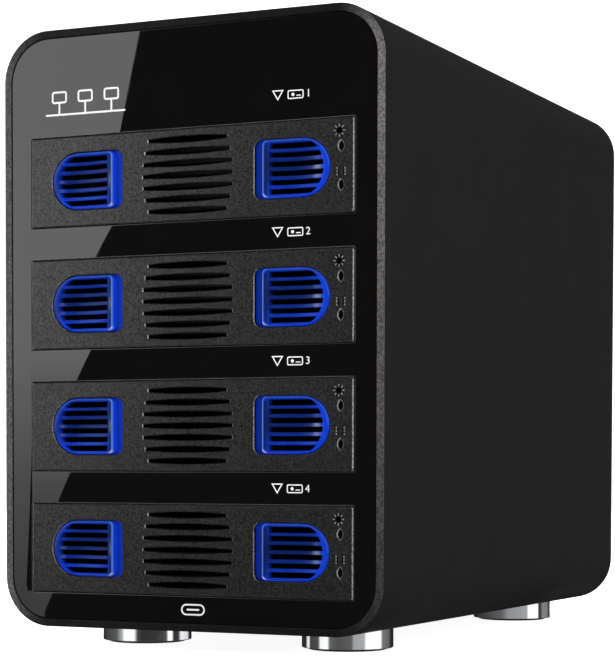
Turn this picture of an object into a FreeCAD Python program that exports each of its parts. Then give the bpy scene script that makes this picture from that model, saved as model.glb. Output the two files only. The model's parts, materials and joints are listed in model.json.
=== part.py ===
"""Four-bay network storage enclosure, millimetres.

Frame: +X to the right of someone facing the front, +Y towards the back,
+Z up.  Origin at the middle of the footprint, on the surface the feet
stand on.  The front rim of the sleeve is at y = -sleeve_d/2.
"""
import FreeCAD, Part
import Sketcher
import ast
import math
import os
import re

V = FreeCAD.Vector
R = FreeCAD.Rotation
doc = FreeCAD.newDocument("storage_enclosure")

# ---------------------------------------------------------------- dimensions
DIMS = [
    # outer sleeve
    ("sleeve_w", 134.0, "sleeve width"),
    ("sleeve_h", 191.0, "sleeve height"),
    ("sleeve_d", 230.0, "sleeve depth"),
    ("sleeve_r", 16.0, "sleeve corner radius"),
    ("wall", 2.5, "sleeve wall"),
    ("lift", 7.0, "underside of the sleeve above the floor"),
    ("fit_gap", 0.15, "gap round a plate fitted in the sleeve"),
    ("chan_r", 4.2, "screw channel outer radius"),
    ("bore_r", 1.5, "screw channel bore radius"),
    ("chan_x", 58.07, "upper screw channel, from the middle"),
    ("chan_zt", 189.07, "upper screw channel height"),
    ("chan_xb", 48.0, "lower screw channel, from the middle"),
    ("chan_zb", 13.4, "lower screw channel height"),
    # fascia and front frame
    ("fascia_in", 0.4, "fascia set back from the rim"),
    ("fascia_t", 3.0, "fascia thickness"),
    ("fascia_ow", 114.3, "fascia opening width"),
    ("fascia_oh", 28.9, "fascia opening height"),
    ("frame_back", -100.0, "rear face of the front frame"),
    ("frame_ow", 115.2, "front frame opening width"),
    ("frame_oh", 29.2, "front frame opening height"),
    # trays
    ("tray_w", 113.8, "tray face width"),
    ("tray_fh", 28.4, "tray face height"),
    ("pitch", 39.0, "tray pitch"),
    ("tray_top", 149.5, "centre height of the top tray"),
    ("face_t", 1.2, "tray face thickness"),
    ("face_back", -106.8, "rear end of the tray face skirt"),
    ("vent_pitch", 3.68, "vent pitch"),
    ("vent_mid", 1.9, "vent height in the middle"),
    ("vent_end", 0.8, "vent height at its ends"),
    ("grip_x0", 23.4, "latch opening, inner side"),
    ("grip_xc", 40.0, "latch opening, centre of the round end"),
    ("grip_r", 9.1, "latch opening, round end radius"),
    ("grip_rc", 2.5, "latch opening, inner corner radius"),
    ("led_x", 52.6, "indicator lens, from the middle"),
    ("led_arc", 2.19, "radius of the two arcs of an indicator window"),
    ("led_z1", 5.75, "upper indicator height from tray centre"),
    ("led_z2", -5.9, "lower indicator height from tray centre"),
    # latch
    ("latch_front", -113.7, "latch front face, behind the tray face"),
    ("boss_front", -114.9, "front of the finger pad in the opening"),
    ("boss_x0", 25.6, "inner end of the finger pad"),
    ("boss_r", 8.95, "finger pad, round end radius"),
    ("boss_rc", 2.3, "finger pad, inner corner radius"),
    ("dish_r", 34.0, "radius of the hollow across the finger pad"),
    ("dish_x", 37.2, "centre of the hollow across the finger pad"),
    ("latch_back", -107.0, "latch rear face"),
    ("latch_x0", 22.2, "latch inner end"),
    ("latch_x1", 51.0, "latch outer end"),
    ("latch_hz", 10.4, "latch half height"),
    ("latch_floor", -112.2, "rear of the finger pad's slotted floor"),
    ("tongue_x", 56.8, "tip of the latch tongue"),
    ("tongue_hz", 3.5, "latch tongue half height"),
    ("rib_pitch", 2.8, "pitch of the slots in the finger pad"),
    ("rib_slot", 1.4, "height of a slot in the finger pad"),
    ("spring_r", 1.8, "latch spring mean radius"),
    ("spring_wire", 0.2, "latch spring wire radius"),
    # drive and sled
    ("drive_w", 101.6, "drive width"),
    ("drive_l", 147.0, "drive length"),
    ("drive_t", 26.1, "drive height"),
    ("drive_y0", -104.0, "front end of the drive"),
    ("drive_z0", -12.5, "underside of the drive from tray centre"),
    ("hole_x", 47.63, "drive bottom hole, from the middle"),
    ("hole_y1", 1.72, "drive bottom hole, rear pair"),
    ("hole_y2", -42.73, "drive bottom hole, front pair"),
    ("sled_in", 51.1, "inner face of the sled side wall"),
    ("sled_out", 52.5, "outer face of the sled side wall"),
    ("sled_end", 44.0, "rear end of the sled"),
    ("runner_x", 57.0, "outer face of the sled runner"),
    ("runner_hz", 3.0, "runner half height"),
    # cage
    ("cage_x0", 58.0, "cage wall inner face"),
    ("cage_x1", 59.2, "cage wall outer face"),
    ("ledge_x", 54.6, "tip of the guide ledge"),
    ("board_y", 47.0, "front face of the backplane"),
    ("pcb_t", 1.6, "circuit board thickness"),
    # rear
    ("panel_y", 108.8, "inner face of the rear panel"),
    ("panel_t", 1.2, "rear panel thickness"),
    ("fan_z", 118.0, "fan axis height"),
    ("fan_w", 80.0, "fan width"),
    ("fan_t", 25.0, "fan thickness"),
    ("fan_bore", 38.0, "fan bore radius"),
    ("fan_hole", 35.75, "fan screw hole, from the fan axis"),
    ("shelf_z", 18.5, "underside of the board shelf"),
    ("main_z", 21.1, "underside of the main board"),
    ("switch_x", 44.0, "power switch centre, from the middle"),
    ("switch_z", 54.0, "power switch centre height"),
    ("rocker_y", 107.5, "rocker pivot"),
    ("reset_x", 14.0, "reset button, from the middle"),
    ("reset_z", 26.9, "reset button height"),
    # feet
    ("foot_x", 37.1, "foot centre, from the middle"),
    ("foot_yf", -74.7, "front foot centre"),
    ("foot_yr", 81.3, "rear foot centre"),
    ("foot_r", 14.6, "foot radius"),
    ("pad_r", 12.9, "foot pad radius"),
]
sheet = doc.addObject("Spreadsheet::Sheet", "Dims")
for row, (alias, value, note) in enumerate(DIMS, 1):
    sheet.set("A%d" % row, note)
    sheet.set("B%d" % row, str(value))
    sheet.setAlias("B%d" % row, alias)
doc.recompute()
NAMES = {alias for alias, _, _ in DIMS}
# lengths that follow from the sheet, written in its own terms
SHORT = {
    "front": "(-sleeve_d/2)",
    "mid_z": "(lift+sleeve_h/2)",
    "plate_w": "(sleeve_w-2*wall-2*fit_gap)",
    "plate_h": "(sleeve_h-2*wall-2*fit_gap)",
    "plate_r": "(sleeve_r-wall-fit_gap)",
    "fascia_f": "(-sleeve_d/2+fascia_in)",
    "fascia_b": "(-sleeve_d/2+fascia_in+fascia_t)",
    "face_b": "(-sleeve_d/2+face_t)",
    "panel_b": "(panel_y+panel_t)",
    "main_top": "(main_z+pcb_t)",
}


def spell(text):
    """Write a length in sheet terms only, as plain text."""
    text = "%s" % text
    return re.sub(r"[A-Za-z_][A-Za-z0-9_]*",
                  lambda m: SHORT.get(m.group(0), m.group(0)), text)


def ex(text):
    """The same length as a FreeCAD expression bound to the sheet."""
    return re.sub(r"[A-Za-z_][A-Za-z0-9_]*",
                  lambda m: "Dims." + m.group(0) if m.group(0) in NAMES
                  else m.group(0), spell(text))


def num(text):
    """The same length as a number, for first guesses and code shapes."""
    def walk(n):
        if isinstance(n, ast.Expression):
            return walk(n.body)
        if isinstance(n, ast.Constant):
            return float(n.value)
        if isinstance(n, ast.Name):
            return float(getattr(sheet, n.id))
        if isinstance(n, ast.UnaryOp):
            v = walk(n.operand)
            return -v if isinstance(n.op, ast.USub) else v
        a, b = walk(n.left), walk(n.right)
        if isinstance(n.op, ast.Add):
            return a + b
        if isinstance(n.op, ast.Sub):
            return a - b
        if isinstance(n.op, ast.Mult):
            return a * b
        return a / b
    return walk(ast.parse(spell(text), mode="eval"))


COUNT = {}


def uniq(base):
    COUNT[base] = COUNT.get(base, 0) + 1
    return "%s_%d" % (base, COUNT[base])


# ------------------------------------------------------- primitives, bound
def at(obj, x, y, z):
    obj.setExpression("Placement.Base.x", ex(x))
    obj.setExpression("Placement.Base.y", ex(y))
    obj.setExpression("Placement.Base.z", ex(z))
    return obj


def box(x0, x1, y0, y1, z0, z1, name="block"):
    b = doc.addObject("Part::Box", uniq(name))
    b.setExpression("Length", ex("(%s)-(%s)" % (x1, x0)))
    b.setExpression("Width", ex("(%s)-(%s)" % (y1, y0)))
    b.setExpression("Height", ex("(%s)-(%s)" % (z1, z0)))
    return at(b, x0, y0, z0)


TURN = {"x": R(V(0, 1, 0), 90), "y": R(V(1, 0, 0), -90), "z": R()}


def cyl(axis, x, y, z, r, length, name="rod"):
    """Cylinder that starts at x, y, z and runs along +axis."""
    c = doc.addObject("Part::Cylinder", uniq(name))
    c.setExpression("Radius", ex(r))
    c.setExpression("Height", ex(length))
    c.Placement = FreeCAD.Placement(V(), TURN[axis])
    return at(c, x, y, z)


def cone(axis, x, y, z, r1, r2, length, name="taper"):
    c = doc.addObject("Part::Cone", uniq(name))
    c.setExpression("Radius1", ex(r1))
    c.setExpression("Radius2", ex(r2))
    c.setExpression("Height", ex(length))
    c.Placement = FreeCAD.Placement(V(), TURN[axis])
    return at(c, x, y, z)


def torus(axis, x, y, z, r1, r2, name="ring"):
    c = doc.addObject("Part::Torus", uniq(name))
    c.setExpression("Radius1", ex(r1))
    c.setExpression("Radius2", ex(r2))
    c.Placement = FreeCAD.Placement(V(), TURN[axis])
    return at(c, x, y, z)


def fuse(name, *parts):
    f = doc.addObject("Part::MultiFuse", uniq(name))
    f.Shapes = list(parts)
    f.Refine = True
    return f


def group(name, *parts):
    g = doc.addObject("Part::Compound", uniq(name))
    g.Links = list(parts)
    return g


def cut(name, base, *tools):
    c = doc.addObject("Part::Cut", uniq(name))
    c.Base = base
    c.Tool = tools[0] if len(tools) == 1 else fuse(name + "_tool", *tools)
    return c


def common(name, *parts):
    c = doc.addObject("Part::MultiCommon", uniq(name))
    c.Shapes = list(parts)
    return c


def mirror(name, source):
    """The same piece on the other side of the x = 0 plane."""
    m = doc.addObject("Part::Mirroring", uniq(name))
    m.Source = source
    m.Base = V(0, 0, 0)
    m.Normal = V(1, 0, 0)
    return m


SUBPARTS = []


def piece(label, obj):
    """Register a finished sub-part; its label names its file."""
    obj.Label = label
    SUBPARTS.append(obj)
    return obj


def placed(label, source, x="0", y="0", z="0"):
    """One more of a piece, at its own place."""
    g = doc.addObject("Part::Compound", uniq(label))
    g.Links = [source]
    at(g, x, y, z)
    return piece(label, g)


# ------------------------------------------------------- bodies and sketches
def plane(body, role):
    for o in body.Origin.OriginFeatures:
        if o.Role == role:
            return o
    raise RuntimeError("no plane " + role)


def sketch(body, role, offset, name="profile"):
    """A sketch on one of the body's own origin planes, moved along its
    normal.  XZ sketches look along +Y, so their normal is -Y."""
    s = body.newObject("Sketcher::SketchObject", uniq(name))
    s.AttachmentSupport = (plane(body, role), [""])
    s.MapMode = "FlatFace"
    s.setExpression("AttachmentOffset.Base.z", ex(offset))
    return s


def held(s, text, *args):
    """A dimension constraint bound to the sheet."""
    i = s.addConstraint(Sketcher.Constraint(*args, num(text)))
    s.setExpression("Constraints[%d]" % i, ex(text))
    return i


def line(s, a, b):
    return s.addGeometry(Part.LineSegment(V(a[0], a[1], 0), V(b[0], b[1], 0)))


def arc(s, c, r, a0, a1):
    return s.addGeometry(Part.ArcOfCircle(
        Part.Circle(V(c[0], c[1], 0), V(0, 0, 1), r),
        math.radians(a0), math.radians(a1)))


def circle(s, cx, cy, r):
    c = s.addGeometry(Part.Circle(V(num(cx), num(cy), 0), V(0, 0, 1), num(r)))
    held(s, r, "Radius", c)
    held(s, cx, "DistanceX", -1, 1, c, 3)
    held(s, cy, "DistanceY", -1, 1, c, 3)
    return c


def rrect(s, cx, cy, w, hh, r):
    """Rounded rectangle, fully constrained to the sheet."""
    x, y, a, b, q = num(cx), num(cy), num(w) / 2, num(hh) / 2, num(r)
    l0 = line(s, (x - a + q, y - b), (x + a - q, y - b))
    a0 = arc(s, (x + a - q, y - b + q), q, -90, 0)
    l1 = line(s, (x + a, y - b + q), (x + a, y + b - q))
    a1 = arc(s, (x + a - q, y + b - q), q, 0, 90)
    l2 = line(s, (x + a - q, y + b), (x - a + q, y + b))
    a2 = arc(s, (x - a + q, y + b - q), q, 90, 180)
    l3 = line(s, (x - a, y + b - q), (x - a, y - b + q))
    a3 = arc(s, (x - a + q, y - b + q), q, 180, 270)
    ring = [l0, a0, l1, a1, l2, a2, l3, a3]
    for i, g in enumerate(ring):
        s.addConstraint(Sketcher.Constraint("Tangent", g, 2,
                                            ring[(i + 1) % 8], 1))
    s.addConstraint(Sketcher.Constraint("Horizontal", l0))
    s.addConstraint(Sketcher.Constraint("Horizontal", l2))
    s.addConstraint(Sketcher.Constraint("Vertical", l1))
    s.addConstraint(Sketcher.Constraint("Vertical", l3))
    for g in (a1, a2, a3):
        s.addConstraint(Sketcher.Constraint("Equal", a0, g))
    held(s, r, "Radius", a0)
    held(s, w, "DistanceX", l3, 1, l1, 1)
    held(s, hh, "DistanceY", l0, 1, l2, 1)
    held(s, "(%s)-(%s)/2" % (cx, w), "DistanceX", -1, 1, l3, 1)
    held(s, "(%s)-(%s)/2" % (cy, hh), "DistanceY", -1, 1, l0, 1)


def dshape(s, x0, xc, r, q):
    """Opening with one round end (outer side) and two soft corners."""
    a, c, rr, k = num(x0), num(xc), num(r), num(q)
    l0 = line(s, (a + k, -rr), (c, -rr))
    big = arc(s, (c, 0), rr, -90, 90)
    l2 = line(s, (c, rr), (a + k, rr))
    c1 = arc(s, (a + k, rr - k), k, 90, 180)
    l3 = line(s, (a, rr - k), (a, -rr + k))
    c2 = arc(s, (a + k, -rr + k), k, 180, 270)
    ring = [l0, big, l2, c1, l3, c2]
    for i, g in enumerate(ring):
        s.addConstraint(Sketcher.Constraint("Tangent", g, 2,
                                            ring[(i + 1) % 6], 1))
    s.addConstraint(Sketcher.Constraint("Horizontal", l0))
    s.addConstraint(Sketcher.Constraint("Horizontal", l2))
    s.addConstraint(Sketcher.Constraint("Vertical", l3))
    s.addConstraint(Sketcher.Constraint("Equal", c1, c2))
    held(s, r, "Radius", big)
    held(s, q, "Radius", c1)
    held(s, x0, "DistanceX", -1, 1, l3, 1)
    held(s, xc, "DistanceX", -1, 1, big, 3)
    s.addConstraint(Sketcher.Constraint("PointOnObject", big, 3, -1))


def lens(s, cy, half, mid, end):
    """Slot that is thickest in the middle and blunt at its ends."""
    y, a, m, e = num(cy), num(half), num(mid) / 2, num(end) / 2
    sag = m - e
    rad = (a * a + sag * sag) / (2 * sag)
    ang = math.degrees(math.asin(a / rad))
    lr = line(s, (a, y - e), (a, y + e))
    top = arc(s, (0, y + m - rad), rad, 90 - ang, 90 + ang)
    ll = line(s, (-a, y + e), (-a, y - e))
    bot = arc(s, (0, y - m + rad), rad, 270 - ang, 270 + ang)
    ring = [lr, top, ll, bot]
    for i, g in enumerate(ring):
        s.addConstraint(Sketcher.Constraint("Coincident", g, 2,
                                            ring[(i + 1) % 4], 1))
    s.addConstraint(Sketcher.Constraint("Vertical", lr))
    s.addConstraint(Sketcher.Constraint("Vertical", ll))
    s.addConstraint(Sketcher.Constraint("PointOnObject", top, 3, -2))
    s.addConstraint(Sketcher.Constraint("PointOnObject", bot, 3, -2))
    s.addConstraint(Sketcher.Constraint("Equal", top, bot))
    held(s, half, "DistanceX", -1, 1, lr, 1)
    held(s, "0-(%s)" % half, "DistanceX", -1, 1, ll, 1)
    held(s, end, "DistanceY", lr, 1, lr, 2)
    held(s, "(%s)-(%s)/2" % (cy, end), "DistanceY", -1, 1, lr, 1)
    s.addConstraint(Sketcher.Constraint("Radius", top, rad))


def pad(body, s, length, name="pad", back=False):
    p = body.newObject("PartDesign::Pad", uniq(name))
    p.Profile = s
    p.setExpression("Length", ex(length))
    p.Reversed = back
    body.Tip = p
    return p


def pocket(body, s, length, name="pocket", back=True):
    """Pocket along the sketch normal (towards -Y on XZ sketches).  The
    volume is compared, because a pocket that misses says nothing."""
    doc.recompute()
    before = body.Shape.Volume
    p = body.newObject("PartDesign::Pocket", uniq(name))
    p.Profile = s
    p.setExpression("Length", ex(length))
    p.Reversed = back
    body.Tip = p
    doc.recompute()
    if not body.Shape.Volume < before - 1e-3:
        raise RuntimeError("pocket cuts nothing: " + p.Name)
    return p


def pick(shape, test):
    """Names of the edges whose middle passes the test."""
    out = []
    for i, e in enumerate(shape.Edges, 1):
        if test(e.BoundBox):
            out.append("Edge%d" % i)
    return out


def soften(body, test, size, name="soften", kind="PartDesign::Fillet"):
    doc.recompute()
    base = body.Tip
    f = body.newObject(kind, uniq(name))
    edges = pick(base.Shape, test)
    if not edges:
        raise RuntimeError("no edges for " + f.Name)
    f.Base = (base, edges)
    if kind.endswith("Fillet"):
        f.setExpression("Radius", ex(size))
    else:
        f.setExpression("Size", ex(size))
    body.Tip = f
    doc.recompute()
    return f


def new_body(name):
    return doc.addObject("PartDesign::Body", uniq(name))


def flat_y(y, tol=1e-4):
    return lambda b: abs(b.YMin - y) < tol and abs(b.YMax - y) < tol


# ================================================================= sleeve
# One extruded aluminium tube with four screw channels along it.
sleeve = new_body("sleeve")
sk = sketch(sleeve, "XZ_Plane", "0-sleeve_d/2")
rrect(sk, "0", "mid_z", "sleeve_w", "sleeve_h", "sleeve_r")
rrect(sk, "0", "mid_z", "sleeve_w-2*wall", "sleeve_h-2*wall", "sleeve_r-wall")
pad(sleeve, sk, "sleeve_d", "tube")
soften(sleeve, lambda b: abs(b.YMax - b.YMin) < 1e-4
       and abs(abs(b.YMin) - num("sleeve_d/2")) < 1e-4, "0.4", "rim_edge",
       "PartDesign::Chamfer")
chan_len = "panel_y-frame_back"
channels = []
for x, z in (("chan_x", "chan_zt"), ("-chan_x", "chan_zt"),
             ("chan_xb", "chan_zb"), ("-chan_xb", "chan_zb")):
    channels.append(cyl("y", x, "frame_back", z, "chan_r", chan_len, "channel"))
outline = new_body("sleeve_outline")
sk = sketch(outline, "XZ_Plane", "0-sleeve_d/2")
rrect(sk, "0", "mid_z", "sleeve_w-wall", "sleeve_h-wall", "sleeve_r-wall/2")
pad(outline, sk, "sleeve_d", "outline")
trimmed = common("channel_trim", group("channels", *channels), outline)
bores = [cyl("y", x, "frame_back-1", z, "bore_r", chan_len + "+2", "bore")
         for x, z in (("chan_x", "chan_zt"), ("-chan_x", "chan_zt"),
                      ("chan_xb", "chan_zb"), ("-chan_xb", "chan_zb"))]
foot_spots = [("-foot_x", "foot_yf"), ("foot_x", "foot_yf"),
              ("-foot_x", "foot_yr"), ("foot_x", "foot_yr")]
foot_holes = [cyl("z", x, y, "lift-1", "2.15", "wall+2", "foot_hole")
              for x, y in foot_spots]
piece("outer_sleeve", cut("sleeve_cut", fuse("sleeve_full", sleeve, trimmed),
                          *(bores + foot_holes)))

# ================================================================= fascia
fascia = new_body("fascia")
sk = sketch(fascia, "XZ_Plane", "0-fascia_b")
rrect(sk, "0", "mid_z", "plate_w", "plate_h", "plate_r")
for i in range(4):
    rrect(sk, "0", "tray_top-%d*pitch" % i, "fascia_ow", "fascia_oh", "0.8")
pad(fascia, sk, "fascia_t", "plate")
soften(fascia, flat_y(num("fascia_f")), "0.45", "fascia_edge",
       "PartDesign::Chamfer")
piece("front_fascia", fascia)

# ============================================================ front frame
frame = new_body("front_frame_body")
sk = sketch(frame, "XZ_Plane", "0-frame_back")
rrect(sk, "0", "mid_z", "plate_w", "plate_h", "plate_r")
for i in range(4):
    rrect(sk, "0", "tray_top-%d*pitch" % i, "frame_ow", "frame_oh", "0.8")
pad(frame, sk, "frame_back-fascia_b", "frame_ring")
sk = sketch(frame, "XZ_Plane", "0-frame_back")
rrect(sk, "0", "180", "100", "22", "3")
pocket(frame, sk, "9", "head_room")
sinks = []
for x, z in (("chan_x", "chan_zt"), ("-chan_x", "chan_zt"),
             ("chan_xb", "chan_zb"), ("-chan_xb", "chan_zb")):
    sinks.append(cyl("y", x, "fascia_b-1", z, "2.75", "5.2", "sink"))
    sinks.append(cyl("y", x, "fascia_b-1", z, "1.6", "15", "pass"))
CAGE_Z = ("40", "165")
for z in CAGE_Z:
    sinks.append(cyl("y", "61.4", "-107", z, "1.35", "8", "tap"))
    sinks.append(cyl("y", "-61.4", "-107", z, "1.35", "8", "tap"))
piece("front_frame", cut("front_frame_cut", frame, *sinks))

# ============================================================== tray face
face = new_body("tray_face")
sk = sketch(face, "XZ_Plane", "0-face_b")
rrect(sk, "0", "0", "tray_w", "tray_fh", "0.9")
pad(face, sk, "face_t", "face_plate")
soften(face, flat_y(num("front")), "0.4", "face_edge")
# skirt behind the plate
sk = sketch(face, "XZ_Plane", "0-face_back")
rrect(sk, "0", "0", "tray_w-0.8", "tray_fh-0.8", "0.7")
rrect(sk, "0", "0", "tray_w-4", "tray_fh-4", "0.5")
pad(face, sk, "face_back-face_b", "skirt")
# row of vents
sk = sketch(face, "XZ_Plane", "0-(face_b+0.5)")
for i, half in ((0, "15.65"), (1, "15.5"), (2, "14.75"), (3, "13.65")):
    for sgn in ((1,) if i == 0 else (1, -1)):
        lens(sk, "%d*vent_pitch" % (i * sgn), half, "vent_mid", "vent_end")
pocket(face, sk, "face_t+1", "vents")
# latch openings, a mirrored pair
sk = sketch(face, "XZ_Plane", "0-(face_b+0.5)")
dshape(sk, "grip_x0", "grip_xc", "grip_r", "grip_rc")
grip = pocket(face, sk, "face_t+1", "grip_opening")
twin = face.newObject("PartDesign::Mirrored", "grip_opening_left")
twin.Originals = [grip]
twin.MirrorPlane = (plane(face, "YZ_Plane"), [""])
face.Tip = twin
doc.recompute()
# soft edge round both openings and the vents
soften(face, lambda b: flat_y(num("front"))(b)
       and abs(b.XMin) > 22 - 1e-6 and abs(b.XMax) > 22
       and b.ZMax - b.ZMin < 19 and b.ZMin > -9.3 and b.ZMax < 9.3
       and abs(b.XMin) < 49.2 and abs(b.XMax) < 49.2,
       "0.3", "grip_edge")
extras = []
for sx in ("", "-"):
    a, b = ("16", "17") if sx == "" else ("-17", "-16")
    extras.append(box(a, b, "face_b-0.2", "-107.6", "-4", "4", "spring_seat"))
    a, b = ("20.4", "55.4") if sx == "" else ("-55.4", "-20.4")
    extras.append(box(a, b, "face_b-0.2", "-108.2", "latch_hz+0.2", "12.4",
                      "guide"))
    extras.append(box(a, b, "face_b-0.2", "-108.2", "-12.4", "0-latch_hz-0.2",
                      "guide"))
extras.append(cyl("y", "17.9", "face_b-0.2", "-8.2", "1.9",
                  "face_back-face_b+0.2", "boss"))
extras.append(cyl("y", "-17.9", "face_b-0.2", "8.2", "1.9",
                  "face_back-face_b+0.2", "boss"))
holes = [box("-60", "-50", "face_b", "face_back+1", "-3.8", "3.8", "gate"),
         box("50", "60", "face_b", "face_back+1", "-3.8", "3.8", "gate"),
         cyl("y", "17.9", "-111.5", "-8.2", "1.0", "6", "tap"),
         cyl("y", "-17.9", "-111.5", "8.2", "1.0", "6", "tap")]
for z in ("led_z1", "led_z2"):
    # the window is pointed above and below, where two round arcs meet
    holes.append(common(
        "lens_slot",
        cyl("y", "led_x-led_arc+0.75", "front-1", z, "led_arc", "face_t+2",
            "slot_arc"),
        cyl("y", "led_x+led_arc-0.75", "front-1", z, "led_arc", "face_t+2",
            "slot_arc")))
face_master = cut("tray_face_cut", fuse("tray_face_full", face, *extras),
                  *holes)

# ================================================================== latch
latch = new_body("latch")
sk = sketch(latch, "XZ_Plane", "0-latch_back")
rrect(sk, "(latch_x0+latch_x1)/2", "0", "latch_x1-latch_x0", "2*latch_hz",
      "1.5")
pad(latch, sk, "latch_back-latch_front", "latch_block")
# finger pad, which fills the opening in the tray face
sk = sketch(latch, "XZ_Plane", "0-latch_front")
dshape(sk, "boss_x0", "grip_xc", "boss_r", "boss_rc")
pad(latch, sk, "latch_front-boss_front", "finger_pad")
soften(latch, flat_y(num("boss_front")), "0.3", "pad_edge")
# hollow behind
sk = sketch(latch, "XZ_Plane", "0-(latch_back+0.5)")
rrect(sk, "38.4", "0", "20.4", "17.2", "2")
pocket(latch, sk, "latch_back+0.5-latch_floor", "hollow")
# shallow dish across the finger pad, inside a narrow rim
plan = new_body("dish_plan")
sk = sketch(plan, "XZ_Plane", "0-(boss_front+3)")
dshape(sk, "27.7", "39.2", "7.95", "1.2")
pad(plan, sk, "4", "dish_prism")
dish = common("dish", plan,
              cyl("z", "dish_x", "boss_front+1.5-dish_r", "-9", "dish_r",
                  "18", "dish_round"))
# slots through the floor of the dish
slots = []
for i, end in enumerate(("45.2", "44.35", "42.0")):
    for sgn in ("", "-"):
        zc = "%s(%s*rib_pitch)" % ("0+" if sgn == "" else "0-",
                                   str(i + 0.5))
        slots.append(box("28.5", end, "boss_front-0.6", "latch_floor+0.6",
                         "%s-rib_slot/2" % zc, "%s+rib_slot/2" % zc, "slot"))
        slots.append(cyl("y", end, "boss_front-0.6", zc, "rib_slot/2",
                         "latch_floor-boss_front+1.2", "slot_end"))
tongue = box("latch_x1-0.3", "tongue_x", "latch_front+0.5",
             "latch_back-0.9", "-tongue_hz", "tongue_hz", "tongue")
latch_right = cut("latch_right_cut", fuse("latch_full", latch, tongue),
                  dish, *slots)
latch_left = mirror("latch_left_mirror", latch_right)

# =========================================================== latch springs
# Coil between the seat on the tray face and the inner end of the latch.
def coil(x0, x1, turns, mean, wire):
    length = x1 - x0 - 2 * wire
    helix = Part.makeHelix(length / turns, length, mean)
    start = V(mean, 0, 0)
    section = Part.Wire([Part.makeCircle(wire, start, V(0, mean * 2 * math.pi,
                                                        length / turns))])
    solid = Part.Wire(helix).makePipeShell([section], True, True)
    solid.rotate(V(), V(0, 1, 0), 90)
    solid.translate(V(x0 + wire, -109.9, 0))
    return solid


spring = doc.addObject("Part::Feature", "spring_right")
spring.Shape = coil(17.05, num("latch_x0") - 0.05, 4.5, num("spring_r"),
                    num("spring_wire"))
spring_pair = group("spring_pair", spring, mirror("spring_left", spring))

# ============================================================ light pipes
pipes = []
for z in ("led_z1", "led_z2"):
    pipes.append(fuse(
        "light_pipe",
        common("lens",
               cyl("y", "led_x-led_arc+0.65", "front+0.1", z, "led_arc-0.02",
                   "6.9", "lens_arc"),
               cyl("y", "led_x+led_arc-0.65", "front+0.1", z, "led_arc-0.02",
                   "6.9", "lens_arc")),
        box("led_x-0.7", "54.3", "-112.8", "-104.5", z + "-1.15", z + "+1.15",
            "jog"),
        box("52.7", "54.3", "-104.6", "sled_end", z + "-1.15", z + "+1.15",
            "run")))
pipe_master = group("light_pipes", *pipes)

# =================================================================== sled
sled_parts = [
    box("-sled_out", "sled_out", "-105.5", "sled_end", "drive_z0-1.6",
        "drive_z0-0.1", "sled_floor"),
    box("-56.6", "56.6", "face_back", "-105.3", "-13.6", "13.6", "bulkhead"),
]
for a, b, c, d in (("sled_in", "sled_out", "sled_out-0.1", "runner_x"),
                   ("-sled_out", "-sled_in", "-runner_x", "0-sled_out+0.1")):
    sled_parts.append(box(a, b, "-105.5", "sled_end", "drive_z0-1.6", "8",
                          "sled_side"))
    sled_parts.append(box(c, d, "-105.5", "42", "-runner_hz", "runner_hz",
                          "runner"))
sled_cuts = []
for y0, y1 in (("-96", "-56"), ("-34", "-8"), ("12", "40")):
    for x0, x1 in (("-42", "-4"), ("4", "42")):
        sled_cuts.append(box(x0, x1, y0, y1, "drive_z0-3", "drive_z0+1",
                             "floor_window"))
for i in range(-3, 4):
    sled_cuts.append(box("-15", "15", "face_back-1", "-104",
                         "%d*vent_pitch-0.95" % i, "%d*vent_pitch+0.95" % i,
                         "air_slot"))
for x0, x1 in (("-46.5", "-29.5"), ("29.5", "46.5")):
    sled_cuts.append(box(x0, x1, "face_back-1", "-104", "-8.4", "8.4",
                         "air_window"))
for z in ("led_z1", "led_z2"):
    sled_cuts.append(box("led_x-1.1", "54.7", "face_back-1", "-105.4",
                         z + "-1.45", z + "+1.45", "pipe_pass"))
    sled_cuts.append(box("sled_out", "54.7", "-105.6", "-104",
                         z + "-1.45", z + "+1.45", "pipe_pass"))
    sled_cuts.append(box("led_x-1.1", "54.7", "-105.6", "-104.2",
                         z + "-1.45", z + "+1.45", "pipe_pass"))
drive_spots = [(sx + "hole_x", y) for sx in ("", "-")
               for y in ("hole_y1", "hole_y2")]
for x, y in drive_spots:
    sled_cuts.append(cyl("z", x, y, "drive_z0-2", "1.85", "3", "screw_pass"))
    sled_cuts.append(cone("z", x, y, "drive_z0-1.6", "3.25", "1.95", "1.3",
                          "screw_sink"))
face_spots = [("17.9", "-8.2"), ("-17.9", "8.2")]
for x, z in face_spots:
    sled_cuts.append(cyl("y", x, "face_back-1", z, "1.15", "3", "screw_pass"))
sled_master = cut("sled_cut", fuse("sled_full", *sled_parts), *sled_cuts)

# ================================================================== drive
drive = new_body("drive_body")
sk = sketch(drive, "XY_Plane", "drive_z0")
rrect(sk, "0", "drive_y0+drive_l/2", "drive_w", "drive_l", "2.2")
pad(drive, sk, "drive_t-1.2", "casting")
sk = sketch(drive, "XY_Plane", "drive_z0+drive_t-1.3")
rrect(sk, "0", "drive_y0+drive_l/2-1", "drive_w-5", "drive_l-8", "7")
pad(drive, sk, "1.3", "lid")
drive_cuts = [box("-20.6", "13.6", "drive_y0+drive_l-4.7",
                  "drive_y0+drive_l+1", "drive_z0-1", "drive_z0+6.8",
                  "plug_well"),
              box("-36", "36", "drive_y0+16", "drive_y0+70", "drive_z0-1",
                  "drive_z0+1.1", "board_recess")]
for x, y in drive_spots:
    drive_cuts.append(cyl("z", x, y, "drive_z0-1", "1.75", "6", "mount_hole"))
plug_blade = box("-19.2", "12.2", "drive_y0+drive_l-5", "drive_y0+drive_l-0.4",
                 "drive_z0+2.8", "drive_z0+3.9", "plug_blade")
drive_master = fuse("drive_full", cut("drive_cut", drive, *drive_cuts),
                    plug_blade)

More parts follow.
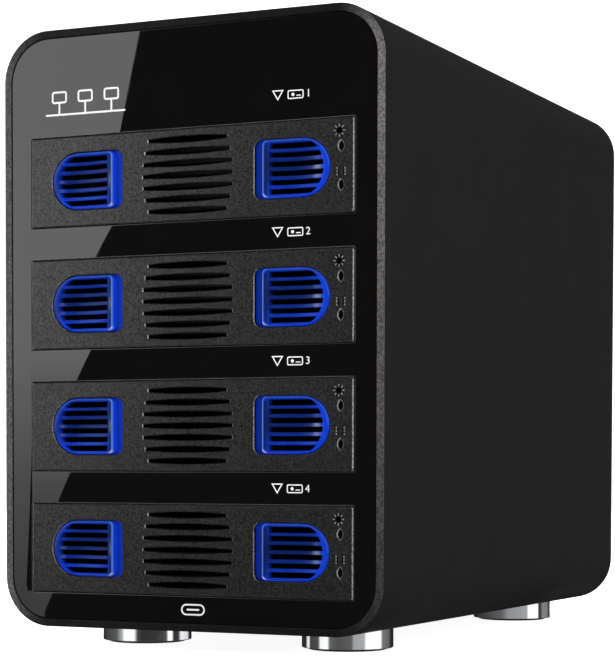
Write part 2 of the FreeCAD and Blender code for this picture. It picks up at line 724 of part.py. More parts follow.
# ============================================================ tray screws
tray_screws = []
for x, y in drive_spots:
    tray_screws.append(fuse(
        "drive_screw",
        cone("z", x, y, "drive_z0-1.55", "3.1", "1.75", "1.2", "head"),
        cyl("z", x, y, "drive_z0-1.0", "1.65", "4.8", "shank")))
for x, z in face_spots:
    tray_screws.append(fuse(
        "face_screw",
        cyl("y", x, "-105.3", z, "1.8", "1.1", "head"),
        cyl("y", x, "-110.9", z, "0.92", "5.9", "shank")))
screw_master = group("tray_screw_set", *tray_screws)

for n in range(1, 5):
    z = "tray_top-%d*pitch" % (n - 1)
    placed("tray_%d_face" % n, face_master, z=z)
    placed("tray_%d_latch_right" % n, latch_right, z=z)
    placed("tray_%d_latch_left" % n, latch_left, z=z)
    placed("tray_%d_springs" % n, spring_pair, z=z)
    placed("tray_%d_light_pipes" % n, pipe_master, z=z)
    placed("tray_%d_sled" % n, sled_master, z=z)
    placed("tray_%d_drive" % n, drive_master, z=z)
    placed("tray_%d_screws" % n, screw_master, z=z)

# =================================================================== cage
cage_parts = [
    box("cage_x0", "cage_x1", "frame_back", "board_y", "21", "184", "wall"),
    box("cage_x1-0.1", "63.6", "frame_back", "frame_back+1.2", "24", "181",
        "front_flange"),
    box("53.4", "cage_x0+0.1", "board_y-1.2", "board_y", "24", "181",
        "rear_flange"),
]
cage_cuts = []
for i in range(4):
    zc = "tray_top-%d*pitch" % i
    for lo, hi in (("+runner_hz+0.2", "+runner_hz+1.2"),
                   ("-runner_hz-1.2", "-runner_hz-0.2")):
        cage_parts.append(box("ledge_x", "cage_x0+0.1", "-98", "43",
                              zc + lo, zc + hi, "ledge"))
    for y0 in (-90, -62, -34, -6, 22):
        for dz in ("-12.5", "8"):
            cage_cuts.append(box("cage_x0-1", "cage_x1+1", str(y0),
                                 str(y0 + 16), "%s+%s" % (zc, dz),
                                 "%s+%s+4.5" % (zc, dz), "air_slot"))
BOARD_Z = ("30.5", "174")
for z in CAGE_Z:
    cage_cuts.append(cyl("y", "61.4", "frame_back-1", z, "1.35", "4", "pass"))
for z in BOARD_Z:
    cage_cuts.append(cyl("y", "55.7", "board_y-3", z, "1.35", "5", "pass"))
cage_right = cut("cage_right_cut", fuse("cage_full", *cage_parts), *cage_cuts)
piece("cage_right_wall", cage_right)
piece("cage_left_wall", mirror("cage_left", cage_right))

# ============================================================== backplane
board_cuts = []
for i in range(4):
    zc = "tray_top-%d*pitch" % i
    for x0, x1 in (("-46", "-3"), ("3", "46")):
        board_cuts.append(box(x0, x1, "board_y-1", "board_y+3", zc + "-2",
                              zc + "+13", "air_window"))
for sx in ("", "-"):
    for z in BOARD_Z:
        board_cuts.append(cyl("y", sx + "55.7", "board_y-1", z, "1.35", "4",
                              "pass"))
piece("backplane_board", cut(
    "backplane_cut", box("-57.5", "57.5", "board_y", "board_y+pcb_t", "22",
                         "183", "board"), *board_cuts))
sockets = []
for i in range(4):
    zc = "tray_top-%d*pitch+drive_z0" % i
    sockets.append(cut(
        "drive_socket",
        box("-19.9", "12.9", "39.0", "board_y", zc + "+0.4", zc + "+6.3",
            "socket"),
        box("-19.5", "12.5", "38.5", "board_y-3", zc + "+2.5", zc + "+4.2",
            "blade_slot")))
sockets.append(box("-30", "30", "board_y+pcb_t", "board_y+pcb_t+9",
                   "main_top", "main_top+8.5", "board_link"))
piece("backplane_connectors", group("backplane_connector_set", *sockets))

# ============================================================= rear panel
plate = new_body("rear_plate")
sk = sketch(plate, "XZ_Plane", "0-panel_b")
rrect(sk, "0", "mid_z", "plate_w", "plate_h", "plate_r")
circle(sk, "0", "fan_z", "fan_bore")
pad(plate, sk, "panel_t", "sheet")
shelf = box("-53", "53", "58", "panel_y+0.1", "shelf_z", "shelf_z+1.2",
            "shelf")
board_spots = [("-48.4", "64"), ("48.4", "64"), ("-48.4", "102"),
               ("48.4", "102")]
bosses = [cone("z", x, y, "shelf_z+1.1", "3.6", "2.8",
               "main_z-shelf_z-1.1", "emboss") for x, y in board_spots]
panel_cuts = [cyl("z", x, y, "shelf_z-1", "1.3", "6", "tap")
              for x, y in board_spots]
for x in ("-fan_hole", "fan_hole"):
    for z in ("fan_z-fan_hole", "fan_z+fan_hole"):
        panel_cuts.append(cyl("y", x, "panel_y-1", z, "2.3", "4", "pass"))
for x, z in (("chan_x", "chan_zt"), ("-chan_x", "chan_zt"),
             ("chan_xb", "chan_zb"), ("-chan_xb", "chan_zb")):
    panel_cuts.append(cyl("y", x, "panel_y-1", z, "1.7", "4", "pass"))
panel_cuts += [
    # network socket, USB socket, power inlet, reset button, switch
    box("-44.2", "-27.8", "panel_y-1", "panel_b+1", "main_top-0.2",
        "main_top+13.7", "lan_hole"),
    box("-3.2", "3.2", "panel_y-1", "panel_b+1", "main_top-0.15",
        "main_top+3.45", "usb_hole"),
    cyl("y", "-3.2", "panel_y-1", "main_top+1.65", "1.8", "4", "usb_end"),
    cyl("y", "3.2", "panel_y-1", "main_top+1.65", "1.8", "4", "usb_end"),
    box("23.8", "33.2", "panel_y-1", "panel_b+1", "main_top-0.2",
        "main_top+11.2", "inlet_hole"),
    cyl("y", "reset_x", "panel_y-1", "reset_z", "1.75", "4", "reset_hole"),
    box("switch_x-6.5", "switch_x+6.5", "panel_y-1", "panel_b+1",
        "switch_z-9.5", "switch_z+9.5", "switch_hole"),
]
# outlet slots above the fan and beside the ports
for i in range(11):
    x = -40 + 8 * i
    panel_cuts.append(box("%g-1.6" % x, "%g+1.6" % x, "panel_y-1",
                          "panel_b+1", "168", "182", "outlet"))
for i in range(7):
    x = -46 + 6 * i
    panel_cuts.append(box("%g-1.2" % x, "%g+1.2" % x, "panel_y-1",
                          "panel_b+1", "46", "62", "outlet"))
piece("rear_panel", cut("rear_panel_cut",
                        fuse("rear_full", plate, shelf, *bosses),
                        *panel_cuts))

# ==================================================================== fan
fan = new_body("fan_body")
sk = sketch(fan, "XZ_Plane", "0-panel_y")
rrect(sk, "0", "fan_z", "fan_w", "fan_w", "4")
circle(sk, "0", "fan_z", "fan_bore")
pad(fan, sk, "fan_t", "fan_duct")
hub_plate = cyl("y", "0", "panel_y-3.4", "fan_z", "17", "3.4", "motor_plate")
struts = []
for k in range(4):
    b = doc.addObject("Part::Box", uniq("strut"))
    b.Length, b.Width, b.Height = 24.5, 3.0, 3.0
    ang = 20 + 90 * k
    rot = R(V(0, 1, 0), ang)
    b.Placement = FreeCAD.Placement(
        V(0, num("panel_y") - 3.4, num("fan_z")) + rot.multVec(V(15, 0, -1.5)),
        rot)
    b.setExpression("Width", ex("3.2"))
    struts.append(b)
fan_cuts = [cyl("y", "0", "panel_y-5", "fan_z", "1.7", "4.2", "bearing")]
for x in ("-fan_hole", "fan_hole"):
    for z in ("fan_z-fan_hole", "fan_z+fan_hole"):
        fan_cuts.append(cyl("y", x, "panel_y-fan_t-1", z, "2.2", "fan_t+2",
                            "screw_way"))
piece("fan_frame", cut("fan_frame_cut",
                       fuse("fan_frame_full", fan, hub_plate, *struts),
                       *fan_cuts))

# rotor: hub, shaft and seven pitched blades
hub = fuse("hub_full",
           cyl("y", "0", "panel_y-fan_t+1.2", "fan_z", "16", "fan_t-5.4",
               "hub"),
           cyl("y", "0", "panel_y-4.5", "fan_z", "1.5", "3.4", "shaft"))


def blade(ang):
    """One blade, lofted from a steep root to a flatter tip."""
    wires = []
    for rad, chord, pitch_deg in ((14.5, 15.0, 52.0), (27.0, 19.0, 40.0),
                                  (40.0, 22.0, 31.0)):
        t = math.radians(pitch_deg)
        along = V(0, math.sin(t), math.cos(t))
        thick = V(0, math.cos(t), -math.sin(t))
        c = V(rad, 0, 0)
        pts = []
        for a, b in ((-0.5, -0.7), (0.5, -0.45), (0.5, 0.45), (-0.5, 0.7)):
            pts.append(c + along * (chord * a) + thick * b)
        wires.append(Part.makePolygon(pts + [pts[0]]))
    solid = Part.makeLoft(wires, True, False)
    solid.translate(V(0, num("panel_y") - num("fan_t") / 2 - 1.6, 0))
    solid.rotate(V(), V(0, 1, 0), ang)
    solid.translate(V(0, 0, num("fan_z")))
    return solid


limit = Part.makeCylinder(37.1, num("fan_t") - 5.5,
                          V(0, num("panel_y-fan_t") + 1.2, num("fan_z")),
                          V(0, 1, 0))
blades = doc.addObject("Part::Feature", "blades")
blades.Shape = Part.makeCompound(
    [blade(360.0 * k / 7).common(limit) for k in range(7)])
piece("fan_rotor", fuse("fan_rotor_full", hub, blades))

# wire guard: four rings joined by four thinner spokes, with an eye at each
# screw
guard_y = "panel_b+0.85"
guard = [torus("y", "0", guard_y, "fan_z", r, "0.8", "ring")
         for r in ("9", "18", "27", "36")]
for k in range(4):
    spoke = doc.addObject("Part::Cylinder", uniq("spoke"))
    spoke.setExpression("Radius", "0.65")
    spoke.setExpression("Height", ex("fan_hole*1.41421356-9-3"))
    rot = R(V(0, 1, 0), 45 + 90 * k)
    spoke.Placement = FreeCAD.Placement(
        V(0, num(guard_y), num("fan_z")) + rot.multVec(V(0, 0, 9)), rot)
    guard.append(spoke)
for x in ("-fan_hole", "fan_hole"):
    for z in ("fan_z-fan_hole", "fan_z+fan_hole"):
        guard.append(torus("y", x, guard_y, z, "3.0", "0.8", "eye"))
piece("fan_guard", fuse("fan_guard_full", *guard))
screws = []
for x in ("-fan_hole", "fan_hole"):
    for z in ("fan_z-fan_hole", "fan_z+fan_hole"):
        screws.append(fuse(
            "fan_screw",
            cyl("y", x, "panel_b+1.7", z, "3.7", "1.9", "head"),
            cyl("y", x, "panel_b-10", z, "2.1", "12", "shank")))
piece("fan_screws", group("fan_screw_set", *screws))

# ============================================================= main board
chips = [box("-16", "16", "66", "94", "main_top-0.1", "main_top+1.5", "chip"),
         box("-40", "-28", "62", "80", "main_top-0.1", "main_top+2.2",
             "transformer"),
         box("24", "36", "62", "74", "main_top-0.1", "main_top+1.4", "memory"),
         cyl("z", "40", "86", "main_top-0.1", "4", "9", "capacitor"),
         cyl("z", "28", "84", "main_top-0.1", "4", "9", "capacitor"),
         box("11", "17", "97.4", "101.1", "main_top-0.1", "main_top+6.6",
             "reset_switch")]
piece("main_board", cut(
    "main_board_cut",
    fuse("main_board_full", box("-52", "52", "56", "108", "main_z",
                                "main_top", "board"), *chips),
    *[cyl("z", x, y, "main_z-1", "1.6", "4", "pass")
      for x, y in board_spots]))
fins = [box("-16", "16", "66", "94", "main_top+1.5", "main_top+3.5", "base")]
for k in range(9):
    x = -15.2 + 3.6 * k
    fins.append(box("%g" % x, "%g" % (x + 1.6), "66", "94", "main_top+3.4",
                    "main_top+14", "fin"))
piece("heatsink", fuse("heatsink_full", *fins))
lan = cut("lan_cut",
          box("-44", "-28", "89.5", "panel_b+0.6", "main_top",
              "main_top+13.5", "lan"),
          box("-42", "-30", "97", "panel_b+2", "main_top+3.4",
              "main_top+10.4", "lan_mouth"),
          box("-39", "-33", "97", "panel_b+2", "main_top+1.2",
              "main_top+3.6", "lan_clip"))
piece("lan_socket", lan)
usb_hull = fuse("usb_hull",
                box("-2.84", "2.84", "101", "panel_b+0.3", "main_top",
                    "main_top+3.3", "usb"),
                cyl("y", "-2.84", "101", "main_top+1.65", "1.65",
                    "panel_b+0.3-101", "usb_end"),
                cyl("y", "2.84", "101", "main_top+1.65", "1.65",
                    "panel_b+0.3-101", "usb_end"))
usb_mouth = fuse("usb_mouth",
                 box("-2.84", "2.84", "103", "panel_b+2", "main_top+0.35",
                     "main_top+2.95", "mouth"),
                 cyl("y", "-2.84", "103", "main_top+1.65", "1.3", "10",
                     "mouth_end"),
                 cyl("y", "2.84", "103", "main_top+1.65", "1.3", "10",
                     "mouth_end"))
usb_tongue = box("-2.9", "2.9", "102.5", "panel_b-0.4", "main_top+1.3",
                 "main_top+2.0", "usb_tongue")
piece("usb_c_socket", fuse("usb_full", cut("usb_cut", usb_hull, usb_mouth),
                           usb_tongue))
jack_pin = cyl("y", "28.5", "97.5", "main_top+6.4", "1.0", "11.5", "pin")
piece("dc_jack", fuse(
    "dc_jack_full",
    cut("dc_jack_cut",
        box("24", "33", "96", "panel_b+0.4", "main_top", "main_top+11",
            "inlet"),
        cyl("y", "28.5", "98", "main_top+6.4", "3.1", "14", "inlet_bore")),
    jack_pin))

# =========================================================== power switch
piece("power_switch_body", cut(
    "switch_cut",
    fuse("switch_full",
         box("switch_x-7.5", "switch_x+7.5", "panel_b", "panel_b+1.8",
             "switch_z-10.5", "switch_z+10.5", "bezel"),
         box("switch_x-6.3", "switch_x+6.3", "96", "panel_b+0.1",
             "switch_z-9.3", "switch_z+9.3", "case")),
    box("switch_x-5.2", "switch_x+5.2", "99.5", "panel_b+3",
        "switch_z-8.3", "switch_z+8.3", "well"),
    cyl("x", "switch_x-5.9", "rocker_y", "switch_z", "1.35", "11.8",
        "pivot_hole")))
rock = doc.addObject("Part::Feature", "rocker_paddle")
prof = [(4.5, 7.2), (3.5, 0.0), (4.5, -7.2), (-1.0, -6.3), (-3.0, -1.6),
        (-3.0, 1.6), (-1.0, 6.3)]
pts = [V(-5.0, p[0], p[1]) for p in prof]
paddle = Part.Face(Part.makePolygon(pts + [pts[0]])).extrude(V(10, 0, 0))
paddle = paddle.makeFillet(0.5, [e for e in paddle.Edges
                                 if e.BoundBox.YMin > 3.4])
paddle.rotate(V(), V(1, 0, 0), -8)
paddle.translate(V(num("switch_x"), num("rocker_y"), num("switch_z")))
rock.Shape = paddle
piece("power_switch_rocker", fuse(
    "rocker_full", rock,
    cyl("x", "switch_x-5.8", "rocker_y", "switch_z", "1.2", "11.6", "pivot")))
piece("reset_button", fuse(
    "reset_full",
    cyl("y", "reset_x", "102.1", "reset_z", "1.55", "8.6", "plunger"),
    cyl("y", "reset_x", "102.1", "reset_z", "2.6", "1.4", "collar")))

# ================================================================= screws
case = []
for x, z in (("chan_x", "chan_zt"), ("-chan_x", "chan_zt"),
             ("chan_xb", "chan_zb"), ("-chan_xb", "chan_zb")):
    case.append(fuse(
        "frame_screw",
        cyl("y", x, "fascia_b+1.9", z, "2.6", "2.3", "head"),
        cyl("y", x, "fascia_b+4.1", z, "1.4", "15", "shank")))
    case.append(fuse(
        "panel_screw",
        cyl("y", x, "panel_b", z, "2.9", "1.9", "head"),
        cyl("y", x, "panel_b-12", z, "1.4", "12.1", "shank")))
for x, y in board_spots:
    case.append(fuse(
        "board_screw",
        cyl("z", x, y, "main_top", "2.6", "1.9", "head"),
        cyl("z", x, y, "main_top-4.6", "1.2", "4.7", "shank")))
piece("case_screws", group("case_screw_set", *case))
cages = []
for sx in ("", "-"):
    for z in CAGE_Z:
        cages.append(fuse(
            "cage_screw",
            cyl("y", sx + "61.4", "frame_back+1.2", z, "2.1", "1.5", "head"),
            cyl("y", sx + "61.4", "-106", z, "1.25", "7.3", "shank")))
    for z in BOARD_Z:
        cages.append(fuse(
            "board_screw",
            cyl("y", sx + "55.7", "board_y+pcb_t", z, "2.1", "1.5", "head"),
            cyl("y", sx + "55.7", "board_y-2.4", z, "1.25", "4.2", "shank")))
piece("cage_screws", group("cage_screw_set", *cages))

# =================================================================== feet
foot = new_body("foot")
sk = sketch(foot, "XY_Plane", "0.8")
circle(sk, "0", "0", "foot_r")
pad(foot, sk, "lift-0.8", "puck")
soften(foot, lambda b: b.XMax - b.XMin > 20 and b.ZMax < 1.0, "0.7", "lip")
soften(foot, lambda b: b.XMax - b.XMin > 20 and b.ZMin > num("lift") - 0.1,
       "0.4", "shoulder")
foot_master = cut("foot_cut", foot,
                  cyl("z", "0", "0", "0", "pad_r+0.1", "1.6", "pad_seat"),
                  cyl("z", "0", "0", "2.4", "1.95", "6", "foot_tap"))
pad_body = new_body("foot_pad")
sk = sketch(pad_body, "XY_Plane", "0")
circle(sk, "0", "0", "pad_r")
pad(pad_body, sk, "1.6", "rubber")
soften(pad_body, lambda b: b.ZMax < 0.01, "0.25", "pad_edge")
for label, (x, y) in zip(("foot_front_left", "foot_front_right",
                          "foot_rear_left", "foot_rear_right"), foot_spots):
    placed(label, foot_master, x=x, y=y)
pads, bolts = [], []
for x, y in foot_spots:
    g = doc.addObject("Part::Compound", uniq("pad_at"))
    g.Links = [pad_body]
    pads.append(at(g, x, y, "0"))
    bolts.append(fuse(
        "foot_screw",
        cyl("z", x, y, "lift+wall", "3.6", "2.2", "head"),
        cyl("z", x, y, "3", "1.9", "lift+wall-2.9", "shank")))
piece("foot_pads", group("foot_pad_set", *pads))
piece("foot_screws", group("foot_screw_set", *bolts))

# ================================================================ writing
doc.recompute()
bad = [o.Name for o in doc.Objects
       if any(s in ("Invalid", "Error") for s in o.State)]
if bad:
    raise RuntimeError("failed features: " + ", ".join(bad))
labels = [o.Label for o in SUBPARTS]
if len(set(labels)) != len(labels) or len(labels) > 60:
    raise RuntimeError("labels clash or too many: %d" % len(labels))
for o in SUBPARTS:
    if o.Shape.isNull() or not o.Shape.isValid() or not o.Shape.Solids:
        raise RuntimeError("bad shape: " + o.Label)
os.makedirs("parts", exist_ok=True)
total = None
for o in SUBPARTS:
    o.Shape.exportStep(os.path.join("parts", o.Label + ".step"))
    b = o.Shape.BoundBox
    print("%-24s solids %2d  vol %10.1f  x %7.2f %7.2f  y %7.2f %7.2f  "
          "z %7.2f %7.2f" % (o.Label, len(o.Shape.Solids), o.Shape.Volume,
                             b.XMin, b.XMax, b.YMin, b.YMax, b.ZMin, b.ZMax))
    if total is None:
        total = FreeCAD.BoundBox(b)
    else:
        total.add(b)
print("sub-parts", len(SUBPARTS), "box", total)
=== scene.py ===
import bpy
import bmesh
import json
import math
import random
from mathutils import Vector, Matrix
from mathutils.geometry import delaunay_2d_cdt


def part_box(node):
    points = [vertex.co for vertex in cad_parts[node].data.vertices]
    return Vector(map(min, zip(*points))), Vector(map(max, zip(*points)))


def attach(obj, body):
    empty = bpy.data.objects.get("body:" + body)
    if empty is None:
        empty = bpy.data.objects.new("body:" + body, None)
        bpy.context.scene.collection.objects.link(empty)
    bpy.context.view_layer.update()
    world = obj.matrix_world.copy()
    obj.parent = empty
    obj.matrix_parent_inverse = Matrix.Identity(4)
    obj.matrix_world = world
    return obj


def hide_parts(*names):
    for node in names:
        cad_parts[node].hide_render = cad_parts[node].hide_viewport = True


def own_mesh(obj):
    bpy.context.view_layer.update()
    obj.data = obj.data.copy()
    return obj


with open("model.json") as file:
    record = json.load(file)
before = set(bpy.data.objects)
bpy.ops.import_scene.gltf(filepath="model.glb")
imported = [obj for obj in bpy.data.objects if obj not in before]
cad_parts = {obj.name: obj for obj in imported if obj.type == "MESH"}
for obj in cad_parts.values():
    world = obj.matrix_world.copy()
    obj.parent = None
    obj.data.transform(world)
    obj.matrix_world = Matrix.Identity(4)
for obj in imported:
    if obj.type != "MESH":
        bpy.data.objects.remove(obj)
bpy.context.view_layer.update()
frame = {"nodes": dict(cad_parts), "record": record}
random.seed(7)
S = 0.001                     # lengths below are written in millimetres
NODES = frame["nodes"]


def mm(node):
    lo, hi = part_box(node)
    return [c / S for c in lo], [c / S for c in hi]


SL, SH = mm("outer_sleeve")
FL, FH = mm("front_fascia")
TRAY_Z = []
for n in range(1, 5):
    lo, hi = mm("tray_%d_face" % n)
    TRAY_Z.append((lo[2] + hi[2]) / 2)
TRAY_W = mm("tray_1_face")[1][0] - mm("tray_1_face")[0][0]
TRAY_H = mm("tray_1_face")[1][2] - mm("tray_1_face")[0][2]
FRONT = SL[1]                 # y of the front rim
MID_Z = (SL[2] + SH[2]) / 2


# ------------------------------------------------------------------ materials
def new_mat(name):
    m = bpy.data.materials.new(name)
    m.use_nodes = True
    nt = m.node_tree
    b = nt.nodes["Principled BSDF"]
    return m, nt, b


def link(nt, a, b):
    nt.links.new(a, b)


def noise(nt, scale, detail=2.0, rough=0.5, coords=None):
    n = nt.nodes.new("ShaderNodeTexNoise")
    n.inputs["Scale"].default_value = scale
    n.inputs["Detail"].default_value = detail
    n.inputs["Roughness"].default_value = rough
    if coords is not None:
        link(nt, coords, n.inputs["Vector"])
    return n


def ramp(nt, fac, p0, c0, p1, c1):
    r = nt.nodes.new("ShaderNodeValToRGB")
    e = r.color_ramp.elements
    e[0].position, e[1].position = p0, p1
    e[0].color = (*c0, 1) if len(c0) == 3 else c0
    e[1].color = (*c1, 1) if len(c1) == 3 else c1
    link(nt, fac, r.inputs["Fac"])
    return r


def objco(nt):
    return nt.nodes.new("ShaderNodeTexCoord").outputs["Object"]


def bump(nt, b, height, strength, distance, chain=None):
    k = nt.nodes.new("ShaderNodeBump")
    k.inputs["Strength"].default_value = strength
    k.inputs["Distance"].default_value = distance
    link(nt, height, k.inputs["Height"])
    if chain is not None:
        link(nt, chain.outputs["Normal"], k.inputs["Normal"])
    link(nt, k.outputs["Normal"], b.inputs["Normal"])
    return k


def plastic(name, col, rough, spec=0.5, grain=1500.0, bstr=0.15, bdist=0.00006,
            vary=0.25, coat=0.0, coat_rough=0.1):
    """Moulded plastic: fine grain, small colour and roughness variation."""
    m, nt, b = new_mat(name)
    co = objco(nt)
    n1 = noise(nt, grain, 3.0, 0.6, co)
    n2 = noise(nt, 38.0, 2.0, 0.5, co)
    lo = tuple(c * (1 - vary) for c in col)
    hi = tuple(min(1, c * (1 + vary)) for c in col)
    r = ramp(nt, n1.outputs["Fac"], 0.32, lo, 0.68, hi)
    link(nt, r.outputs["Color"], b.inputs["Base Color"])
    rr = ramp(nt, n2.outputs["Fac"], 0.3, (rough * 0.92,) * 3, 0.7,
              (min(1, rough * 1.08),) * 3)
    link(nt, rr.outputs["Color"], b.inputs["Roughness"])
    b.inputs["Specular IOR Level"].default_value = spec
    if coat:
        b.inputs["Coat Weight"].default_value = coat
        b.inputs["Coat Roughness"].default_value = coat_rough
    bump(nt, b, n1.outputs["Fac"], bstr, bdist)
    return m


def metal(name, col, rough, grain=900.0, stretch=(1, 1, 1), bstr=0.08,
          bdist=0.00003, vary=0.12, metallic=1.0, aniso=0.0):
    m, nt, b = new_mat(name)
    co = objco(nt)
    mp = nt.nodes.new("ShaderNodeMapping")
    mp.inputs["Scale"].default_value = stretch
    link(nt, co, mp.inputs["Vector"])
    n1 = noise(nt, grain, 3.0, 0.6, mp.outputs["Vector"])
    n2 = noise(nt, 60.0, 3.0, 0.55, co)
    lo = tuple(c * (1 - vary) for c in col)
    hi = tuple(min(1, c * (1 + vary)) for c in col)
    r = ramp(nt, n2.outputs["Fac"], 0.3, lo, 0.7, hi)
    link(nt, r.outputs["Color"], b.inputs["Base Color"])
    rr = ramp(nt, n1.outputs["Fac"], 0.3, (rough * 0.8,) * 3, 0.7,
              (min(1, rough * 1.2),) * 3)
    link(nt, rr.outputs["Color"], b.inputs["Roughness"])
    b.inputs["Metallic"].default_value = metallic
    b.inputs["Anisotropic"].default_value = aniso
    bump(nt, b, n1.outputs["Fac"], bstr, bdist)
    return m


def sleeve_material():
    """Sand-blasted, black anodised aluminium: a fine matt grain with a few
    brighter grains."""
    m, nt, b = new_mat("sleeve_black")
    co = objco(nt)
    g = noise(nt, 2600.0, 2.0, 0.6, co)
    g2 = noise(nt, 1100.0, 3.0, 0.6, co)
    big = noise(nt, 14.0, 2.0, 0.5, co)
    base = ramp(nt, g.outputs["Fac"], 0.38, (0.0062, 0.0062, 0.0063), 0.66,
                (0.0180, 0.0179, 0.0178))
    link(nt, base.outputs["Color"], b.inputs["Base Color"])
    rr = ramp(nt, big.outputs["Fac"], 0.3, (0.52,) * 3, 0.7, (0.58,) * 3)
    link(nt, rr.outputs["Color"], b.inputs["Roughness"])
    b.inputs["Specular IOR Level"].default_value = 0.4
    k = bump(nt, b, g2.outputs["Fac"], 0.3, 0.00006)
    bump(nt, b, g.outputs["Fac"], 0.3, 0.00004, k)
    return m


def rim_material():
    """Turned front rim: the cut runs along the rim, so it shines where the
    light crosses it.  The mesh carries the direction across the cut and a
    painted highlight: how bright each stretch is painted, in colour and metal."""
    m, nt, b = new_mat("sleeve_rim")
    co = objco(nt)
    at = nt.nodes.new("ShaderNodeAttribute")
    at.attribute_name = "across"
    # painted highlight: how bright each stretch of the rim is painted
    pol = nt.nodes.new("ShaderNodeAttribute")
    pol.attribute_name = "rim_painted_highlight"
    g = noise(nt, 1700.0, 3.0, 0.65, co)
    lo = ramp(nt, g.outputs["Fac"], 0.38, (0.001, 0.001, 0.001), 0.64,
              (0.011, 0.011, 0.011))
    # pale colour of the painted highlight
    hi = ramp(nt, g.outputs["Fac"], 0.38, (0.085, 0.080, 0.078), 0.64,
              (0.300, 0.288, 0.282))
    mix = nt.nodes.new("ShaderNodeMix")
    mix.data_type = "RGBA"
    link(nt, pol.outputs["Fac"], mix.inputs[0])
    link(nt, lo.outputs["Color"], mix.inputs[6])
    link(nt, hi.outputs["Color"], mix.inputs[7])
    link(nt, mix.outputs[2], b.inputs["Base Color"])
    # the painted highlight also raises the metallic weight
    me_ = nt.nodes.new("ShaderNodeMath")
    me_.operation = "MULTIPLY"
    me_.inputs[1].default_value = 0.35
    link(nt, pol.outputs["Fac"], me_.inputs[0])
    link(nt, me_.outputs["Value"], b.inputs["Metallic"])
    b.inputs["Specular IOR Level"].default_value = 0.15
    b.inputs["Roughness"].default_value = 0.5
    b.inputs["Anisotropic"].default_value = 0.6
    link(nt, at.outputs["Vector"], b.inputs["Tangent"])
    bump(nt, b, g.outputs["Fac"], 0.35, 0.00006)
    return m


def tray_material():
    """Spark-textured moulded plastic: coarse pits and specks.  Where the mesh
    says "edge" a paler painted highlight lies on the corner; behind the plate
    the colour is painted near black as shade, and it is dull."""
    m, nt, b = new_mat("tray_black")
    co = objco(nt)
    g = noise(nt, 2300.0, 2.0, 0.6, co)
    g2 = noise(nt, 1500.0, 3.0, 0.66, co)
    base = ramp(nt, g.outputs["Fac"], 0.38, (0.0080, 0.0080, 0.0080), 0.64,
                (0.0330, 0.0330, 0.0333))
    # pale colour of the painted edge highlight
    pale = ramp(nt, g.outputs["Fac"], 0.40, (0.13, 0.127, 0.12), 0.60,
                (0.60, 0.585, 0.55))
    at = nt.nodes.new("ShaderNodeAttribute")
    at.attribute_name = "edge"
    mix = nt.nodes.new("ShaderNodeMix")
    mix.data_type = "RGBA"
    link(nt, at.outputs["Fac"], mix.inputs[0])
    link(nt, base.outputs["Color"], mix.inputs[6])
    link(nt, pale.outputs["Color"], mix.inputs[7])
    # painted shade: behind the plate the colour goes near black and dull, so the
    # vents look dark
    sy = nt.nodes.new("ShaderNodeSeparateXYZ")
    link(nt, co, sy.inputs["Vector"])
    behind_plate_shade = nt.nodes.new("ShaderNodeMapRange")
    behind_plate_shade.inputs["From Min"].default_value = -0.11475
    behind_plate_shade.inputs["From Max"].default_value = -0.1144
    link(nt, sy.outputs["Y"], behind_plate_shade.inputs["Value"])
    mix2 = nt.nodes.new("ShaderNodeMix")
    mix2.data_type = "RGBA"
    link(nt, behind_plate_shade.outputs["Result"], mix2.inputs[0])
    link(nt, mix.outputs[2], mix2.inputs[6])
    mix2.inputs[7].default_value = (0.0012, 0.0012, 0.0012, 1)
    link(nt, mix2.outputs[2], b.inputs["Base Color"])
    sp = ramp(nt, g.outputs["Fac"], 0.38, (0.26,) * 3, 0.64, (0.45,) * 3)
    mix3 = nt.nodes.new("ShaderNodeMix")
    mix3.data_type = "RGBA"
    link(nt, behind_plate_shade.outputs["Result"], mix3.inputs[0])
    link(nt, sp.outputs["Color"], mix3.inputs[6])
    mix3.inputs[7].default_value = (0.06, 0.06, 0.06, 1)
    link(nt, mix3.outputs[2], b.inputs["Specular IOR Level"])
    b.inputs["Roughness"].default_value = 0.21
    k = bump(nt, b, g2.outputs["Fac"], 0.15, 0.00006)
    bump(nt, b, g.outputs["Fac"], 0.28, 0.00006, k)
    return m


def fascia_material():
    """Polished black plate: near mirror, with faint polishing haze."""
    m, nt, b = new_mat("fascia_gloss")
    co = objco(nt)
    n = noise(nt, 55.0, 4.0, 0.6, co)
    r = ramp(nt, n.outputs["Fac"], 0.3, (0.0024,) * 3, 0.7,
             (0.0030, 0.0030, 0.0031))
    # painted highlight: the edge attribute mixes in a paler grain colour on the
    # cut edges
    at = nt.nodes.new("ShaderNodeAttribute")
    at.attribute_name = "edge"
    g = noise(nt, 2600.0, 2.0, 0.6, co)
    cut = ramp(nt, g.outputs["Fac"], 0.35, (0.07,) * 3, 0.65, (0.17,) * 3)
    mix = nt.nodes.new("ShaderNodeMix")
    mix.data_type = "RGBA"
    link(nt, at.outputs["Fac"], mix.inputs[0])
    link(nt, r.outputs["Color"], mix.inputs[6])
    link(nt, cut.outputs["Color"], mix.inputs[7])
    link(nt, mix.outputs[2], b.inputs["Base Color"])
    rr = ramp(nt, n.outputs["Fac"], 0.35, (0.0,) * 3, 0.7, (0.02,) * 3)
    link(nt, rr.outputs["Color"], b.inputs["Roughness"])
    b.inputs["IOR"].default_value = 1.5
    return m


